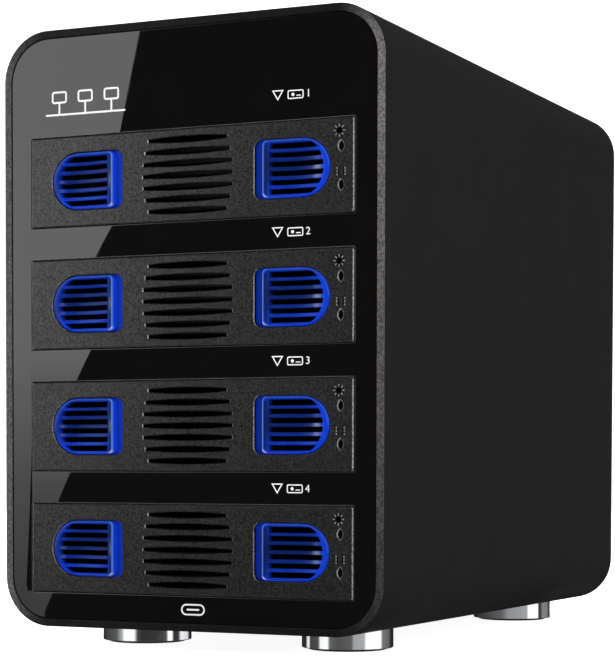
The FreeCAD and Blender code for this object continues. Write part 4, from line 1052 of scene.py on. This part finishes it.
def pad_sheen(x, z, side):
    """Whitish sheen: tail of the crest, and where the bowl turns up."""
    s_ = frame_in(x, z)
    g = 1 - smooth((x - 27.4) / 1.2)
    v = 0.75 * g * math.exp(-(s_ / 0.28) ** 2
                            - ((z + 8.0) / 0.45) ** 2)
    if side == "right":
        v += 0.34 * math.exp(-((x - 44.5) / 1.2) ** 2) * (
            math.exp(-(z / 0.9) ** 2)
            + 0.7 * math.exp(-((z + 2.8) / 0.8) ** 2)
            + 0.2 * math.exp(-((z - 2.8) / 0.8) ** 2))
    else:
        v += 0.06 * math.exp(-((x - 45.6) / 0.9) ** 2) * (
            math.exp(-(z / 0.9) ** 2) + math.exp(-((z + 2.8) / 0.8) ** 2))
        v += 0.20 * math.exp(-((x - 27.5) / 0.35) ** 2 - (z / 2.2) ** 2)
    return v


def slot_loop(zc, h):
    """One slot of the pad: straight inner end, slanted outer end."""
    def end(z):
        return 39.6 + 7.1 * math.sqrt(max(0.02, 1 - (z / 8.6) ** 2))
    z0, z1 = zc - h / 2, zc + h / 2
    pts = []
    xs = 28.45
    n = 22
    e0, e1 = end(z0), end(z1)
    for k in range(n + 1):
        pts.append((xs + (e0 - xs) * k / n, z0))
    pts.append((end(zc) + 0.05, zc))
    for k in range(n + 1):
        pts.append((e1 + (xs - e1) * k / n, z1))
    return pts


def latch(n, side):
    b = Build()
    s = 1 if side == "right" else -1
    cz = TRAY_Z[n - 1]

    def fx(loop):
        return [(x, z + cz) for x, z in loop] if s > 0 else \
            [(-x, z + cz) for x, z in reversed(loop)]

    def yf(x, z):
        return pad_y(abs(x), z - cz)

    outer = rrect(36.6, 0, 28.8, 20.8, 1.5, 6)
    pad = dshape(25.6, 40.0, 8.95, 2.3, n=44, nq=8)
    slots = [slot_loop(z, h) for z, h in
             ((-7.0, 1.74), (-4.2, 1.62), (-1.4, 1.62), (1.4, 1.62),
              (4.2, 1.62), (6.9, 1.86))]
    extra = []
    x = 28.2
    while x < 49.0:
        for k in range(-2, 3):
            for dz in (-0.48, -0.24, 0.0, 0.24, 0.48):
                extra.append((s * x, cz + k * 2.8 + dz))
        for z in (7.92, 8.05, 8.2, 8.66, 8.8):
            extra += [(s * x, cz + z), (s * x, cz - z)]
        x += 0.4
    edge = dshape(26.7, 40.0, 8.5, 1.3, n=60, nq=8)
    dense = []
    for p0_, p1_ in zip(edge, edge[1:] + edge[:1]):
        m = max(1, int(math.dist(p0_, p1_) / 0.35))
        dense += [(p0_[0] + (p1_[0] - p0_[0]) * j / m,
                   p0_[1] + (p1_[1] - p0_[1]) * j / m) for j in range(m)]
    for off in (0.75, 0.55, 0.38, 0.24, 0.12, 0.0, -0.1, -0.2, -0.32, -0.46,
                -0.62, -0.82, -1.1, -1.4):
        for x, z in grown(dense, off):
            if off < -0.4 and x > 29:
                continue
            extra.append((s * x, cz + z))
    for k in range(-40, 41):
        z = k * 0.2 + 0.007
        for r in (45.4, 45.9, 46.4, 46.9, 47.3, 47.7, 48.0, 48.35):
            extra.append((s * (40 + (r - 40) * math.cos(z / (r - 40))),
                          cz + (r - 40) * math.sin(z / (r - 40))))
    # block round the pad
    o0 = b.ring(fx(outer), BF)
    o1 = b.ring(fx(outer), RF)
    b.bridge(o0, o1)
    p0 = b.ring(fx(pad), BF)
    b.fill([o0, p0])
    # wall and round edge of the pad
    last = p0
    rings = []
    for k in range(4, -1, -1):
        t = math.pi / 2 * k / 4
        off = 0.3 * (1 - math.sin(t))
        lp = fx(grown(pad, -off))
        r = b.ring(lp, lambda x, z, t=t: min(BF - 0.01, yf(x, z)
                                             + 0.3 * (1 - math.cos(t))))
        b.bridge(r, last)
        last = r
    fr, bk = [last], [o1]
    for sl in slots:
        wide = fx(grown(sl, 0.1))
        exact = fx(sl)
        r0 = b.ring(wide, yf)
        r1 = b.ring(exact, lambda x, z: yf(x, z) + 0.1)
        r2 = b.ring(exact, RF)
        b.bridge(r0, r1, True)
        b.bridge(r1, r2, True)
        fr.append(r0)
        bk.append(r2)
    b.fill(fr, extra=extra, y=yf)
    b.fill(bk, back=True)
    # stiffening walls behind, and the tongue
    for t in (-1, 1):
        b.box(min(s * 22.4, s * 50.8), max(s * 22.4, s * 50.8), RF - 0.2,
              -107.0, cz + t * 9.7 - 0.6, cz + t * 9.7 + 0.6, 0.15)
        b.box(s * (22.9 if t < 0 else 50.3) - 0.6,
              s * (22.9 if t < 0 else 50.3) + 0.6, RF - 0.2, -107.0,
              cz - 10.2, cz + 10.2, 0.15)
    b.box(min(s * 50.4, s * 56.8), max(s * 50.4, s * 56.8), BF + 0.5, -107.9,
          cz - 3.5, cz + 3.5, 0.3)

    def dress(me):
        for nm in ("shade", "glint", "sheen"):
            me.attributes.new(nm, "FLOAT", "POINT")
        sh, gl = me.attributes["shade"], me.attributes["glint"]
        sn = me.attributes["sheen"]
        for v in me.vertices:
            x, y, z = abs(v.co.x) / S, v.co.y / S, v.co.z / S - cz
            # painted shade: full behind the pad front, and on the pad set by
            # place, height and side; glint and sheen are painted highlights
            if y > BF + 0.4:
                sh.data[v.index].value = 1.0
            elif x < 50 and y < BF - 0.03:
                w = pad_shade(x, z)
                # more painted shade on the top rail, on the outer band of the
                # left latch and on the inner strip of the right latch
                if z > 6 and frame_in(x, z) < 0.8 and x > 27.5:
                    w = max(w, 0.42)
                if side == "left" and x > 42:
                    w = max(w, 0.62 * smooth((x - 42) / 4.5)
                            * smooth((z + 7.5) / 5.0))
                if side == "right" and x < 26.4:
                    w = max(w, 0.42 * (1 - smooth((x - 25.6) / 0.8)))
                sh.data[v.index].value = w
                gl.data[v.index].value = pad_glint(x, z)
                sn.data[v.index].value = pad_sheen(x, z, side)
            else:
                sh.data[v.index].value = 0.42 if (side == "right"
                                                  and x < 26) else 0.08

    b.done("latch_%s_%d" % (side, n), M_BLUE, "tray_%d_%s_latch" % (n, side),
           node="tray_%d_latch_%s" % (n, side), angle=50.0, weighted=False,
           dress=dress)


for n in range(1, 5):
    latch(n, "left")
    latch(n, "right")

# --------------------------------------------------------------------- feet
for name in ("foot_front_left", "foot_front_right", "foot_rear_left",
             "foot_rear_right"):
    lo, hi = mm(name)
    cx, cy = (lo[0] + hi[0]) / 2, (lo[1] + hi[1]) / 2
    r = (hi[0] - lo[0]) / 2 + 0.25
    zb, zt = min(lo[2], 0.62), hi[2]
    b = Build()
    prof = [(13.1, zb + 0.9), (13.1, zb)]
    for k in range(7):
        t = math.pi / 2 * k / 6
        prof.append((r - 0.3 + 0.3 * math.sin(t),
                     zb + 0.3 - 0.3 * math.cos(t)))
    for k in range(1, 4):
        t = math.pi / 2 * k / 3
        prof.append((r - 0.3 + 0.3 * math.cos(t), zt - 0.3 + 0.3 * math.sin(t)))
    prof.append((3.0, zt))
    b.lathe(prof, cx, cy, n=96)
    b.done(name + "_turned", M_CHROME, "chassis", node=name, angle=45.0)

# rubber pads, one ring each
lo, hi = mm("foot_pads")
b = Build()
for name in ("foot_front_left", "foot_front_right", "foot_rear_left",
             "foot_rear_right"):
    l2, h2 = mm(name)
    cx, cy = (l2[0] + h2[0]) / 2, (l2[1] + h2[1]) / 2
    b.lathe([(9.0, 0.25), (9.3, 0.0), (12.4, 0.0), (12.75, 0.12),
             (12.9, 0.4), (12.9, 1.55), (0.6, 1.55), (0.4, 0.5), (8.6, 0.5)],
            cx, cy, n=72)
b.done("foot_pad_rings", M_RUBBER, "chassis", node="foot_pads", angle=45.0)


# ------------------------------------------------------------- printed marks
def flat_mark(name, loops, y, mat=M_PRINT_GLOW):
    """Thin printed marks: each entry is (outer, [holes])."""
    b = Build()
    for outer, holes in loops:
        b.plate(outer, holes, y - 0.03, y + 0.02, rf=0.01, seg=1)
    return b.done(name, mat, "chassis", slot="fascia_gloss", weighted=False)


def tri(cx, cz, w, h):
    """Triangle pointing down, anticlockwise."""
    return [(cx - w / 2, cz + h / 2), (cx, cz - h / 2), (cx + w / 2, cz + h / 2)]


YF = FL[1]
LABEL_Z = [164.7 + SL[2], 123.2 + SL[2], 84.0 + SL[2], 45.0 + SL[2]]
for i, lz in enumerate(LABEL_Z, 1):
    t = tri(31.2, lz, 4.0, 3.2)
    marks = [(t, [grown(t, -0.36)])]
    # drive outline with a spindle dot and a head line
    marks.append((rrect(37.2, lz, 5.4, 2.7, 0.55, 4),
                  [rrect(37.2, lz, 4.7, 2.0, 0.3, 4)]))
    marks.append((circle(36.3, lz, 0.52, 16), []))
    marks.append((stroke(37.6, lz - 0.35, 38.9, lz - 0.35, 0.3), []))
    flat_mark("drive_mark_%d" % i, marks, YF)
    cu = bpy.data.curves.new("bay_number_%d" % i, "FONT")
    cu.body = str(i)
    cu.size = 3.3 * S
    cu.extrude = 0.02 * S
    cu.align_x = "LEFT"
    cu.align_y = "CENTER"
    cu.materials.append(M_PRINT_GLOW)
    o = bpy.data.objects.new("bay_number_%d" % i, cu)
    bpy.context.scene.collection.objects.link(o)
    o.rotation_euler = (math.pi / 2, 0, 0)
    o.location = (40.7 * S, (YF - 0.02) * S, lz * S)
    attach(o, "chassis")

# wordless network mark: three boxes hanging from one line
zt, zb = 171.2 + SL[2], 164.0 + SL[2]
marks = [(stroke(-51.4, zb, -22.6, zb, 0.62), [])]
for cx in (-46.6, -37.0, -27.4):
    o1 = rrect(cx, zt - 1.7, 5.6, 3.9, 0.9, 5)
    marks.append((o1, [grown(o1, -0.62)]))
    marks.append((stroke(cx, zt - 3.9, cx, zb + 0.1, 0.62), []))
flat_mark("network_mark", marks, YF)
# port outline mark under the lowest tray
cz = 6.9 + SL[2]
o1 = rrect(1.9, cz, 8.4, 3.6, 1.79, 8)
marks = [(o1, [grown(o1, -0.5)]), (stroke(-0.1, cz, 3.9, cz, 0.55), [])]
flat_mark("port_mark", marks, YF)

# ------------------------------------------- finishes on carried-over pieces
for name, obj in NODES.items():
    if obj.hide_render:
        continue
    mat = SLOT_MAT[NODE_SLOT[name]]
    obj.data.materials.clear()
    obj.data.materials.append(mat)

# -------------------------------------------------------------------- stage
def stage_plane():
    me = bpy.data.meshes.new("backdrop")
    pts = [(-6, 2.5), (-6, 0)]
    prof = [(-3.0, 0.0), (2.2, 0.0)]
    for k in range(1, 13):
        a = math.pi / 2 * k / 12
        prof.append((2.2 + 1.2 * math.sin(a), 1.2 - 1.2 * math.cos(a)))
    prof.append((3.4, 4.5))
    v, f = [], []
    for y, z in prof:
        v += [(-6.0, y, z), (6.0, y, z)]
    for k in range(len(prof) - 1):
        f.append((2 * k, 2 * k + 1, 2 * k + 3, 2 * k + 2))
    me.from_pydata(v, [], f)
    me.polygons.foreach_set("use_smooth", [True] * len(me.polygons))
    o = bpy.data.objects.new("backdrop", me)
    bpy.context.scene.collection.objects.link(o)
    m, nt, bs = new_mat("backdrop_pale")
    co = objco(nt)
    n = noise(nt, 4.0, 2.0, 0.5, co)
    r = ramp(nt, n.outputs["Fac"], 0.3, (0.86,) * 3, 0.7, (0.88,) * 3)
    link(nt, r.outputs["Color"], bs.inputs["Base Color"])
    bs.inputs["Roughness"].default_value = 0.9
    bs.inputs["Specular IOR Level"].default_value = 0.0
    bs.inputs["Emission Color"].default_value = (1, 1, 1, 1)
    # bright to the camera, so the object's own shade on it stays faint, but
    # not a strong lamp for the object
    lp = nt.nodes.new("ShaderNodeLightPath")
    ms = nt.nodes.new("ShaderNodeMapRange")
    ms.inputs["To Min"].default_value = 0.10
    ms.inputs["To Max"].default_value = 0.93
    link(nt, lp.outputs["Is Camera Ray"], ms.inputs["Value"])
    link(nt, ms.outputs["Result"], bs.inputs["Emission Strength"])
    me.materials.append(m)
    o.visible_glossy = False
    return o


stage_plane()


def card(name, verts, strength, steps=None):
    """Emissive studio card seen only in reflections; steps: (z, factor)."""
    me = bpy.data.meshes.new(name)
    me.from_pydata(verts, [], [tuple(range(len(verts)))])
    o = bpy.data.objects.new(name, me)
    bpy.context.scene.collection.objects.link(o)
    m = bpy.data.materials.new(name)
    m.use_nodes = True
    nt = m.node_tree
    for nd in list(nt.nodes):
        nt.nodes.remove(nd)
    out = nt.nodes.new("ShaderNodeOutputMaterial")
    em = nt.nodes.new("ShaderNodeEmission")
    em.inputs["Strength"].default_value = strength
    link(nt, em.outputs["Emission"], out.inputs["Surface"])
    if steps:
        co = nt.nodes.new("ShaderNodeTexCoord")
        sp = nt.nodes.new("ShaderNodeSeparateXYZ")
        link(nt, co.outputs["Object"], sp.inputs["Vector"])
        z0, z1 = steps[0][0], steps[-1][0]
        mr = nt.nodes.new("ShaderNodeMapRange")
        mr.inputs["From Min"].default_value = z0
        mr.inputs["From Max"].default_value = z1
        link(nt, sp.outputs["Z"], mr.inputs["Value"])
        rp = nt.nodes.new("ShaderNodeValToRGB")
        el = rp.color_ramp.elements
        while len(el) < len(steps):
            el.new(0.5)
        for e, (z, f) in zip(el, steps):
            e.position = (z - z0) / (z1 - z0)
            e.color = (f, f, f, 1)
        link(nt, mr.outputs["Result"], rp.inputs["Fac"])
        mm_ = nt.nodes.new("ShaderNodeMath")
        mm_.operation = "MULTIPLY"
        mm_.inputs[1].default_value = strength
        link(nt, rp.outputs["Color"], mm_.inputs[0])
        link(nt, mm_.outputs["Value"], em.inputs["Strength"])
    me.materials.append(m)
    o.visible_camera = False
    o.visible_shadow = False
    o.visible_diffuse = False
    o.visible_transmission = False
    return o


# the mirror image of this card's slanted edge crosses the fascia
card("card_left", [(-0.6248, -1.5, 1.5207), (-0.9523, -1.5, -0.2015),
                   (-3.2, -1.5, -0.2015), (-3.2, -1.5, 1.5207)],
     2.92, [(-0.2, 0.33), (-0.07, 0.35), (0.045, 0.54), (0.19, 1.0),
            (1.5, 1.0)])


def foot_ring(name, cx, cy, stops):
    """Reflector round one foot, seen only in its polished wall; how bright
    it looks depends on the bearing of the ray that finds it."""
    n, r = 72, 0.036
    v, f = [], []
    for k in range(n):
        a = 2 * math.pi * k / n
        for z in (-0.004, 0.0069):
            v.append((cx + r * math.cos(a), cy + r * math.sin(a), z))
    for k in range(n):
        j = (k + 1) % n
        f.append((2 * k, 2 * j, 2 * j + 1, 2 * k + 1))
    me = bpy.data.meshes.new(name)
    me.from_pydata(v, [], f)
    o = bpy.data.objects.new(name, me)
    bpy.context.scene.collection.objects.link(o)
    m = bpy.data.materials.new(name)
    m.use_nodes = True
    nt = m.node_tree
    for nd in list(nt.nodes):
        nt.nodes.remove(nd)
    out = nt.nodes.new("ShaderNodeOutputMaterial")
    em = nt.nodes.new("ShaderNodeEmission")
    link(nt, em.outputs["Emission"], out.inputs["Surface"])
    ge = nt.nodes.new("ShaderNodeNewGeometry")
    sp = nt.nodes.new("ShaderNodeSeparateXYZ")
    link(nt, ge.outputs["Incoming"], sp.inputs["Vector"])
    ng = nt.nodes.new("ShaderNodeMath")
    ng.operation = "MULTIPLY"
    ng.inputs[1].default_value = -1.0
    link(nt, sp.outputs["X"], ng.inputs[0])
    at = nt.nodes.new("ShaderNodeMath")
    at.operation = "ARCTAN2"
    link(nt, ng.outputs["Value"], at.inputs[0])
    link(nt, sp.outputs["Y"], at.inputs[1])
    mr = nt.nodes.new("ShaderNodeMapRange")
    mr.inputs["From Min"].default_value = -math.pi
    mr.inputs["From Max"].default_value = math.pi
    link(nt, at.outputs["Value"], mr.inputs["Value"])
    rp = nt.nodes.new("ShaderNodeValToRGB")
    rp.color_ramp.interpolation = "LINEAR"
    el = rp.color_ramp.elements
    while len(el) < len(stops):
        el.new(0.5)
    for e, (g, c) in zip(el, stops):
        e.position = (g + 180) / 360.0
        e.color = (c, c, c, 1)
    link(nt, mr.outputs["Result"], rp.inputs["Fac"])
    link(nt, rp.outputs["Color"], em.inputs["Color"])
    me.materials.append(m)
    o.visible_camera = False
    o.visible_shadow = False
    o.visible_diffuse = False
    o.visible_transmission = False


# bearing (degrees from the front towards the right) and brightness
AROUND = {
    "foot_front_right": [
        (-180, 0.02), (-104, 0.03), (-96, 1.09), (-90, 1.09), (-84, 0.06),
        (-54, 0.10), (-48, 1.16), (-28, 1.30), (-22, 0.16), (0, 0.10),
        (34, 0.14), (40, 0.44), (66, 0.48), (72, 1.33), (114, 1.38),
        (122, 0.22), (148, 0.16), (162, 0.03), (180, 0.02)],
    "foot_front_left": [
        (-180, 0.02), (-128, 0.03), (-90, 0.08), (-58, 0.12), (-40, 0.52),
        (-34, 1.23), (-6, 1.30), (2, 0.10), (14, 0.04), (60, 0.05),
        (80, 0.10), (86, 1.38), (95, 1.38), (101, 0.04), (119, 0.05),
        (127, 1.09), (158, 0.87), (168, 0.06), (180, 0.02)],
    "foot_rear_right": [
        (-180, 0.02), (-120, 0.02), (-60, 0.07), (-10, 0.14), (10, 0.34),
        (66, 0.44), (71, 1.30), (104, 1.38), (109, 0.05), (118, 0.06),
        (126, 0.28), (155, 0.24), (168, 0.04), (180, 0.02)],
}
AROUND["foot_rear_left"] = AROUND["foot_rear_right"]
for name, stops in AROUND.items():
    l2, h2 = mm(name)
    foot_ring(name + "_reflector", (l2[0] + h2[0]) / 2 * S,
              (l2[1] + h2[1]) / 2 * S, stops)


def area(name, loc, target, sx, sy, power, color=(1, 1, 1), glossy=True,
         diffuse=True):
    li = bpy.data.lights.new(name, "AREA")
    li.shape = "RECTANGLE"
    li.size, li.size_y = sx, sy
    li.energy = power
    li.color = color
    o = bpy.data.objects.new(name, li)
    bpy.context.scene.collection.objects.link(o)
    o.location = loc
    d = Vector(target) - Vector(loc)
    o.rotation_euler = d.to_track_quat("-Z", "Y").to_euler()
    o.visible_camera = False
    o.visible_glossy = glossy
    o.visible_diffuse = diffuse
    return o


area("key_left", (-1.3, -1.5, 1.3), (0, 0, 0.1), 1.2, 1.2, 5, glossy=False)
area("key_right", (1.0, -1.5, 0.7), (0, 0, 0.1), 0.8, 0.8, 8, glossy=False)
area("right_box", (1.45, -0.75, 0.45), (0, -0.1, 0.1), 0.5, 1.1, 9)
area("rear_right", (1.6, 1.0, 0.5), (0.07, 0.08, 0.1), 0.9, 0.9, 7,
     glossy=False)
area("top_box", (0.0, 0.1, 1.9), (0, 0, 0.1), 1.4, 1.4, 10, glossy=False)
area("rear_fill", (-0.7, 1.7, 0.8), (0, 0.1, 0.1), 0.8, 0.8, 22,
     glossy=False)
area("left_fill", (-1.7, 0.45, 0.7), (-0.06, 0, 0.1), 1.0, 1.0, 14,
     glossy=False)
# low cards that only the back and the left side can mirror
card("card_rear", [(-1.3, 1.6, 0.02), (-0.3, 1.6, 0.02), (-0.3, 1.6, 0.38),
                   (-1.3, 1.6, 0.38)], 1.3)
card("card_side", [(-1.5, 0.6, 0.3), (-1.5, -0.2, 0.3), (-1.5, -0.2, 0.9),
                   (-1.5, 0.6, 0.9)], 0.8)
area("floor_wash", (0.0, 1.2, 2.2), (0, 1.6, 0), 3.0, 2.0, 40, glossy=False)

world = bpy.data.worlds.new("studio")
bpy.context.scene.world = world
world.use_nodes = True
nt = world.node_tree
for nd in list(nt.nodes):
    nt.nodes.remove(nd)
out = nt.nodes.new("ShaderNodeOutputWorld")
bgc = nt.nodes.new("ShaderNodeBackground")
bgc.inputs["Color"].default_value = (1, 1, 1, 1)
bgc.inputs["Strength"].default_value = 1.0
bgl = nt.nodes.new("ShaderNodeBackground")
bgl.inputs["Color"].default_value = (1, 1, 1, 1)
bgl.inputs["Strength"].default_value = 0.06
lp = nt.nodes.new("ShaderNodeLightPath")
mx = nt.nodes.new("ShaderNodeMixShader")
link(nt, lp.outputs["Is Camera Ray"], mx.inputs["Fac"])
link(nt, bgl.outputs["Background"], mx.inputs[1])
link(nt, bgc.outputs["Background"], mx.inputs[2])
link(nt, mx.outputs["Shader"], out.inputs["Surface"])
bpy.context.scene.view_settings.view_transform = "Standard"
bpy.context.scene.view_settings.look = "None"

# ------------------------------------------------------------------- camera
F_PX, CX, CY = 2113.5, 340.2, 550.4
YAW, PITCH, ROLL = 0.427, -0.0382, 0.0029
POS = Vector((0.31746, -0.58191 - 0.115, 0.05090 + 0.007))
fwd = Vector((-math.sin(YAW) * math.cos(PITCH),
              math.cos(YAW) * math.cos(PITCH), math.sin(PITCH)))
rt = Vector((math.cos(YAW), math.sin(YAW), 0))
up = rt.cross(fwd)
r2 = rt * math.cos(ROLL) + up * math.sin(ROLL)
u2 = -rt * math.sin(ROLL) + up * math.cos(ROLL)
cam = bpy.data.cameras.new("camera")
cam.sensor_fit = "AUTO"
cam.sensor_width = 36.0
cam.lens = F_PX * 36.0 / 657.0
cam.clip_start, cam.clip_end = 0.05, 50
co = bpy.data.objects.new("camera", cam)
bpy.context.scene.collection.objects.link(co)
m3 = Matrix((r2, u2, -fwd)).transposed()
co.matrix_world = Matrix.Translation(POS) @ m3.to_4x4()
bpy.context.scene.camera = co
# the lens shift holds only at this camera place, so that views from other
# angles stay centred
for prop, val in (("shift_x", (307.5 - CX) / 657.0),
                  ("shift_y", (CY - 328.5) / 657.0)):
    setattr(cam, prop, val)
    d = cam.driver_add(prop).driver
    d.type = "SCRIPTED"
    v = d.variables.new()
    v.name = "px"
    v.type = "TRANSFORMS"
    v.targets[0].id = co
    v.targets[0].transform_type = "LOC_X"
    v.targets[0].transform_space = "WORLD_SPACE"
    d.expression = "%.6f * (abs(px - %.5f) < 0.002)" % (val, POS.x)
